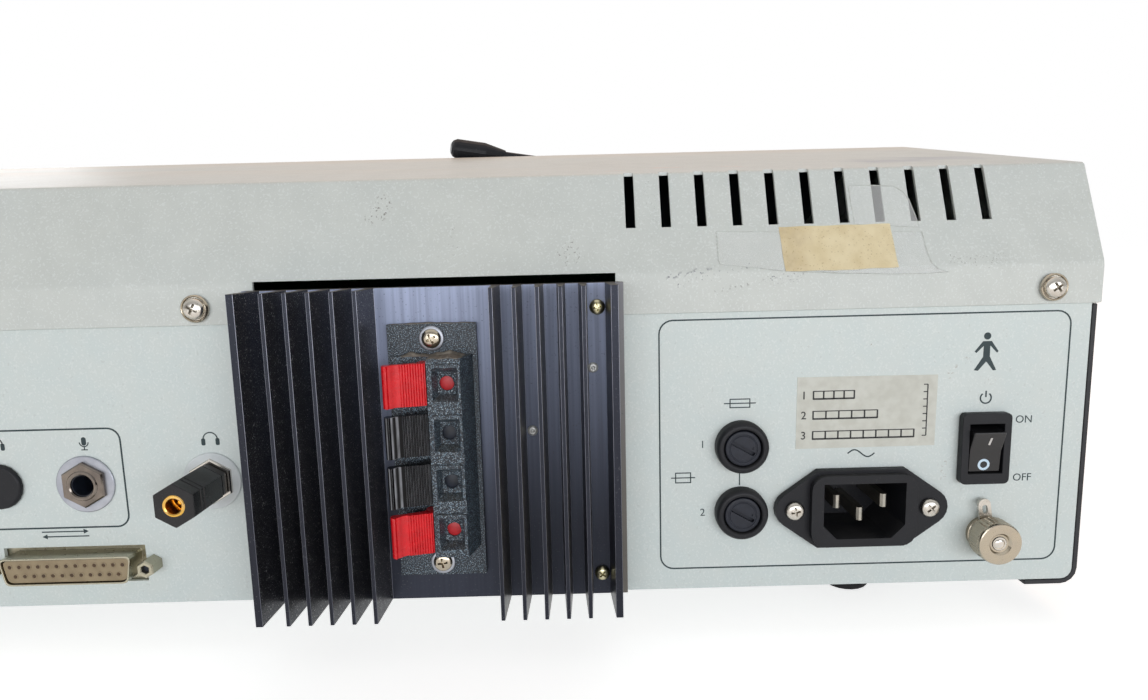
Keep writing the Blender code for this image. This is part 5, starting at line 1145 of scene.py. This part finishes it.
piece("adapter_plug", lathe(plug, 32, at_axis), CHROME, "adapter", smooth=30)

rims, holes = [], []
for count, height in ((13, 14.4), (12, 11.5)):
    for i in range(count):
        x = middle("serial_insert")[0] + (i - (count - 1) / 2) * HOLE_PITCH
        matrix = out_of_rear(x, DECK + height * MM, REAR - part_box("serial_insert")[0].y)
        rims.append(lathe([(0.55, -0.3), (0.95, -0.3), (0.9, 0.1), (0.72, 0.16), (0.55, 0.02)], 16, matrix, ring=True))
        holes.append(lathe([(0, 0.015), (0.35, 0.03), (0.58, 0.015), (0.58, -0.3), (0, -0.3)], 16, matrix))
piece("serial_hole_rims", together(rims), TAN, smooth=30)
piece("serial_holes", together(holes), HOLE_BROWN, smooth=30)
for node in ("serial_jackscrew_left", "serial_jackscrew_right"):
    matrix = out_of_rear(*middle(node))
    reach = (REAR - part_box(node)[0].y) / MM
    post = ((1.3, 0.1), (2.75, 0.1), (2.75, reach - 0.45), (2.35, reach), (1.55, reach), (1.3, reach - 0.3))
    piece(node + "_post", hex_bar(post, matrix), SHELL, "case", (node,), smooth=25)
    core = [(0, reach - 1.6), (1.2, reach - 1.6), (1.35, reach - 1.7), (1.35, -5.5), (0, -5.5)]
    piece(node + "_thread", lathe(core, 20, matrix), DARK_HOLE, smooth=30)

# Screw heads under the rear edge
for label, across in (("right", 43.4), ("left", -68.6)):
    dome = [(0, -1.5), (1.2, -1.42), (2.1, -1.1), (2.7, -0.5), (2.8, 0.2), (0, 0.2)]
    place = Matrix.Translation((INLET + across * MM, REAR + 4.2 * MM, DECK))
    piece("edge_screw_" + label, lathe(dome, 32, place), NICKEL, smooth=40)


# --- Operator side, in millimetres on the slope ---

panel_face = max(nodes["operator_panel"].data.polygons, key=lambda f: f.area * max(f.normal.z, 0))
normal = panel_face.normal.copy()
display_middle = sum(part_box("display_window"), Vector()) / 2
SLOPE = Matrix.Translation(display_middle + normal * (panel_face.center - display_middle).dot(normal)) @ Matrix((
    (1, 0, 0, 0),
    (0, normal.z, normal.y, 0),
    (0, -normal.y, normal.z, 0),
    (0, 0, 0, 1)))
UNSLOPE = SLOPE.inverted()


def slope_print(name, shapes, look):
    return piece(name, placed(together(shapes), SLOPE), look)


def key_outline(x, y, half_x, half_y, corner):
    return rounded(half_x * MM, half_y * MM, corner * MM, (x * MM, y * MM), 4)


def key_band(x, y, half_x, half_y, corner, width, inner_corner, thick=1.0):
    inner = key_outline(x, y, half_x - width, half_y - width, inner_corner)
    return band(key_outline(x, y, half_x, half_y, corner), inner, "Z", -INK, thick * INK)


def slope_line(points, width, high=INK):
    return stroke([(x * MM, y * MM) for x, y in points], width * MM, "Z", -INK, high)


def slope_words(words, x, y, tall):
    return lettering(words, tall, Matrix.Translation((x * MM, y * MM, 0)) @ spun(180))


# Display: a plain hearing chart of two lines
columns, levels = [-36.0 + 12.0 * i for i in range(7)], [-21.0 + 7.0 * i for i in range(7)]
grid = [slope_line([(x, levels[0]), (x, levels[-1])], 0.25, 0.5 * INK) for x in columns]
grid += [slope_line([(columns[0], y), (columns[-1], y)], 0.25, 0.5 * INK) for y in levels]
slope_print("chart_grid", grid, SCREEN_GREEN)
for name, look, heights in (("chart_line_a", SCREEN_RED, (-14, -12, -13, -7, 1, 4, 8)),
                            ("chart_line_b", SCREEN_BLUE, (-12, -14, -10, -9, -4, 7, 11))):
    points = list(zip(columns, heights))
    marks = [slope_line(points, 0.4)]
    for x, y in points:
        at_point = (x * MM, y * MM)
        marks.append(band(circle(1.3 * MM, 16, at_point), circle(0.85 * MM, 16, at_point), "Z", -INK, 1.2 * INK))
    slope_print(name, marks, look)
slope_print("chart_numbers", [slope_words(str(20 * i), 42, y, 2.2) for i, y in enumerate(levels)]
            + [slope_words(str(i + 1), -x, -25.5, 2.2) for i, x in enumerate(columns)], SCREEN_GREEN)
slope_print("display_frame", [key_band(0, 0, 87.5, 32.5, 4.5, 2.9, 3.0)], INK_DARK)

# Membrane keys on both sides of the display and along the lower edge
keys, numbers, lamps = [], [], []
for side in (-1, 1):
    for column in range(5):
        for row in range(3):
            if side > 0 and column < 2 and row == 0:
                continue
            x, y = side * (106 + 25 * column), -20 + 18 * row
            keys.append(prism(key_outline(x, y, 9.5, 5.5, 2), "Z", -INK, 1.5 * INK))
            numbers.append(slope_words(str(1 + row * 5 + column + (15 if side > 0 else 0)), x, y, 3.0))
            lamps.append((x, y - 7.6))
slope_print("membrane_keys", keys, KEY_PRINT)
slope_print("membrane_numbers", [placed(n, Matrix.Translation((0, 0, INK))) for n in numbers], INK_DARK)
for label, chosen, look in (("green", lamps[::3], LAMP_GREEN), ("red", lamps[1::3] + lamps[2::3], LAMP_RED)):
    dome = [(0, 0.9), (0.7, 0.75), (1.2, 0.3), (1.25, -0.1), (0, -0.1)]
    domes = [lathe(dome, 16, Matrix.Translation((x * MM, y * MM, 0))) for x, y in chosen]
    slope_print("key_lamps_" + label, domes, look).data.shade_smooth()
zone = [key_band(0, 52, 74, 17, 4, 0.6, 3.6)]
zone += [key_band(-59.5 + 17 * i, 45.5, 6.6, 4.6, 1.6, 0.5, 1.3, 1.3) for i in range(8)]
slope_print("function_zone", zone, INK_LIGHT)
slope_print("function_numbers", [slope_words(str(i + 1), 59.5 - 17 * i, 45.5, 3.0) for i in range(8)], INK_LIGHT)

# Scales round the level dials, and their pointers
for node, body, label in (("level_dial_left", "dial_left", "right"), ("level_dial_right", "dial_right", "left")):
    centre = UNSLOPE @ (sum(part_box(node), Vector()) / 2)
    x, y = centre.x / MM, centre.y / MM
    scale = []
    for i in range(25):
        angle = math.radians(-240 + 12.5 * i)
        radii = (33.0, 35.0 if i % 2 else 36.4)
        scale.append(slope_line([(x - r * math.cos(angle), y + r * math.sin(angle)) for r in radii], 0.5))
        if i % 4 == 0:
            scale.append(slope_words(str(i * 5), x - 40.0 * math.cos(angle), y + 40.0 * math.sin(angle), 3.2))
    slope_print("dial_scale_" + label, scale, INK_LIGHT)
    top = max((UNSLOPE @ v.co).z for v in nodes[node].data.vertices)
    line = prism(rounded(0.7 * MM, 7.0 * MM, 0.6 * MM, (0, -9.0 * MM)), "Z", -0.2 * MM, 0.12 * MM)
    place = SLOPE @ Matrix.Translation((centre.x, centre.y, top))
    piece("dial_pointer_" + label, placed(line, place), INK_LIGHT, body)
    soften(node, 0.4, BLACK, body, 2, 30)

# Pads on the two tone keys
for node, body, look in (("tone_key_left", "key_left", SCREEN_BLUE), ("tone_key_right", "key_right", SCREEN_RED)):
    corners = [UNSLOPE @ v.co for v in nodes[node].data.vertices]
    centre = UNSLOPE @ (sum(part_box(node), Vector()) / 2)
    place = (centre.x, sum(c.y for c in corners) / len(corners), max(c.z for c in corners))
    pad = prism(rounded(7.0 * MM, 1.5 * MM, 1.4 * MM), "Z", -0.2 * MM, 0.1 * MM)
    piece(node + "_pad", placed(pad, SLOPE @ Matrix.Translation(place)), look, body)
    soften(node, 0.4, KEYS, body, 2, 30)


# --- Camera, light and floor ---

def make_camera():
    data = bpy.data.cameras.new("camera")
    data.lens = CAMERA_LENS
    data.sensor_width = CAMERA_SENSOR
    data.clip_start = 0.01
    camera = in_scene("camera", data)
    turn = Matrix((Vector(CAMERA_RIGHT), -Vector(CAMERA_DOWN), -Vector(CAMERA_AHEAD))).transposed()
    camera.matrix_world = Matrix.Translation(CAMERA_PLACE) @ turn.to_4x4()
    bpy.context.scene.camera = camera


def make_lamp(name, place, target, size, power, colour):
    data = bpy.data.lights.new(name, "AREA")
    data.shape = "RECTANGLE"
    data.size, data.size_y = size
    data.energy = power
    data.color = tone(*colour)[:3]
    lamp = in_scene(name, data)
    lamp.location = place
    lamp.rotation_euler = (Vector(target) - Vector(place)).to_track_quat("-Z", "Y").to_euler()


def make_world():
    """White behind the object and overhead in reflections, a dimmer room on the viewer's side."""
    world = bpy.data.worlds.new("studio")
    world.use_nodes = True
    bpy.context.scene.world = world
    world.node_tree.nodes.clear()
    tree = Tree(world.node_tree)
    path = tree.add("LightPath")
    bright = tree.add("Background", {0: (1, 1, 1, 1)})
    dim = tree.add("Background", {0: ROOM_COLOUR, 1: ROOM_STRENGTH})
    x, y, z = tree.add("SeparateXYZ", {0: tree.add("TexCoord")["Generated"]})
    towards = tree.add("MapRange", {0: tree.math("ADD", y, z), 1: -0.4, 2: 0.3})[0]
    share = tree.times(path["Is Glossy Ray"], towards)
    for ray in ("Is Camera Ray", "Is Transmission Ray"):
        share = tree.math("MAXIMUM", path[ray], share)
    mix = tree.add("MixShader", {0: share, 1: dim[0], 2: bright[0]})
    tree.add("OutputWorld", {0: mix[0]})


def make_floor():
    """A pale floor that the camera sees a little brighter than it lights."""
    shape = bmesh.new()
    shape.faces.new([shape.verts.new((x * FLOOR_REACH, y * FLOOR_REACH, 0))
                     for x, y in ((-1, -1), (1, -1), (1, 1), (-1, 1))])
    look = Look("floor_paint", (236, 236, 234), 0.9, specular=0.1)
    material = look.mottle((232, 232, 231), 0.4, 0.6).done()
    path = look.add("LightPath")
    seen = look.math("MAXIMUM", path["Is Glossy Ray"], path["Is Transmission Ray"])
    glow = look.add("Emission", {1: look.times(look.math("MAXIMUM", path["Is Camera Ray"], seen), FLOOR_GLOW)})
    total = look.add("AddShader", {0: look.shader.outputs[0], 1: glow[0]})
    look.feed(look.nodes["Material Output"].inputs[0], total[0])
    mesh = as_mesh(shape, "floor")
    mesh.materials.append(material)
    in_scene("floor", mesh)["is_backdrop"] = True


make_camera()
make_world()
make_floor()
make_lamp("window", (0.35, -2.1, 0.27), (0.12, -0.18, 0.05), (3.0, 0.66), 31.5, (247, 250, 255))
make_lamp("room", (0.1, 0.6, 1.35), (0.05, 0.0, 0.12), (1.4, 1.0), 6.2, (255, 200, 158))
make_lamp("front", (-1.9, 1.3, 0.75), (0.0, 0.1, 0.08), (1.6, 0.8), 12, (250, 252, 255))
bpy.context.scene.view_settings.view_transform = "Standard"

low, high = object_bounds()
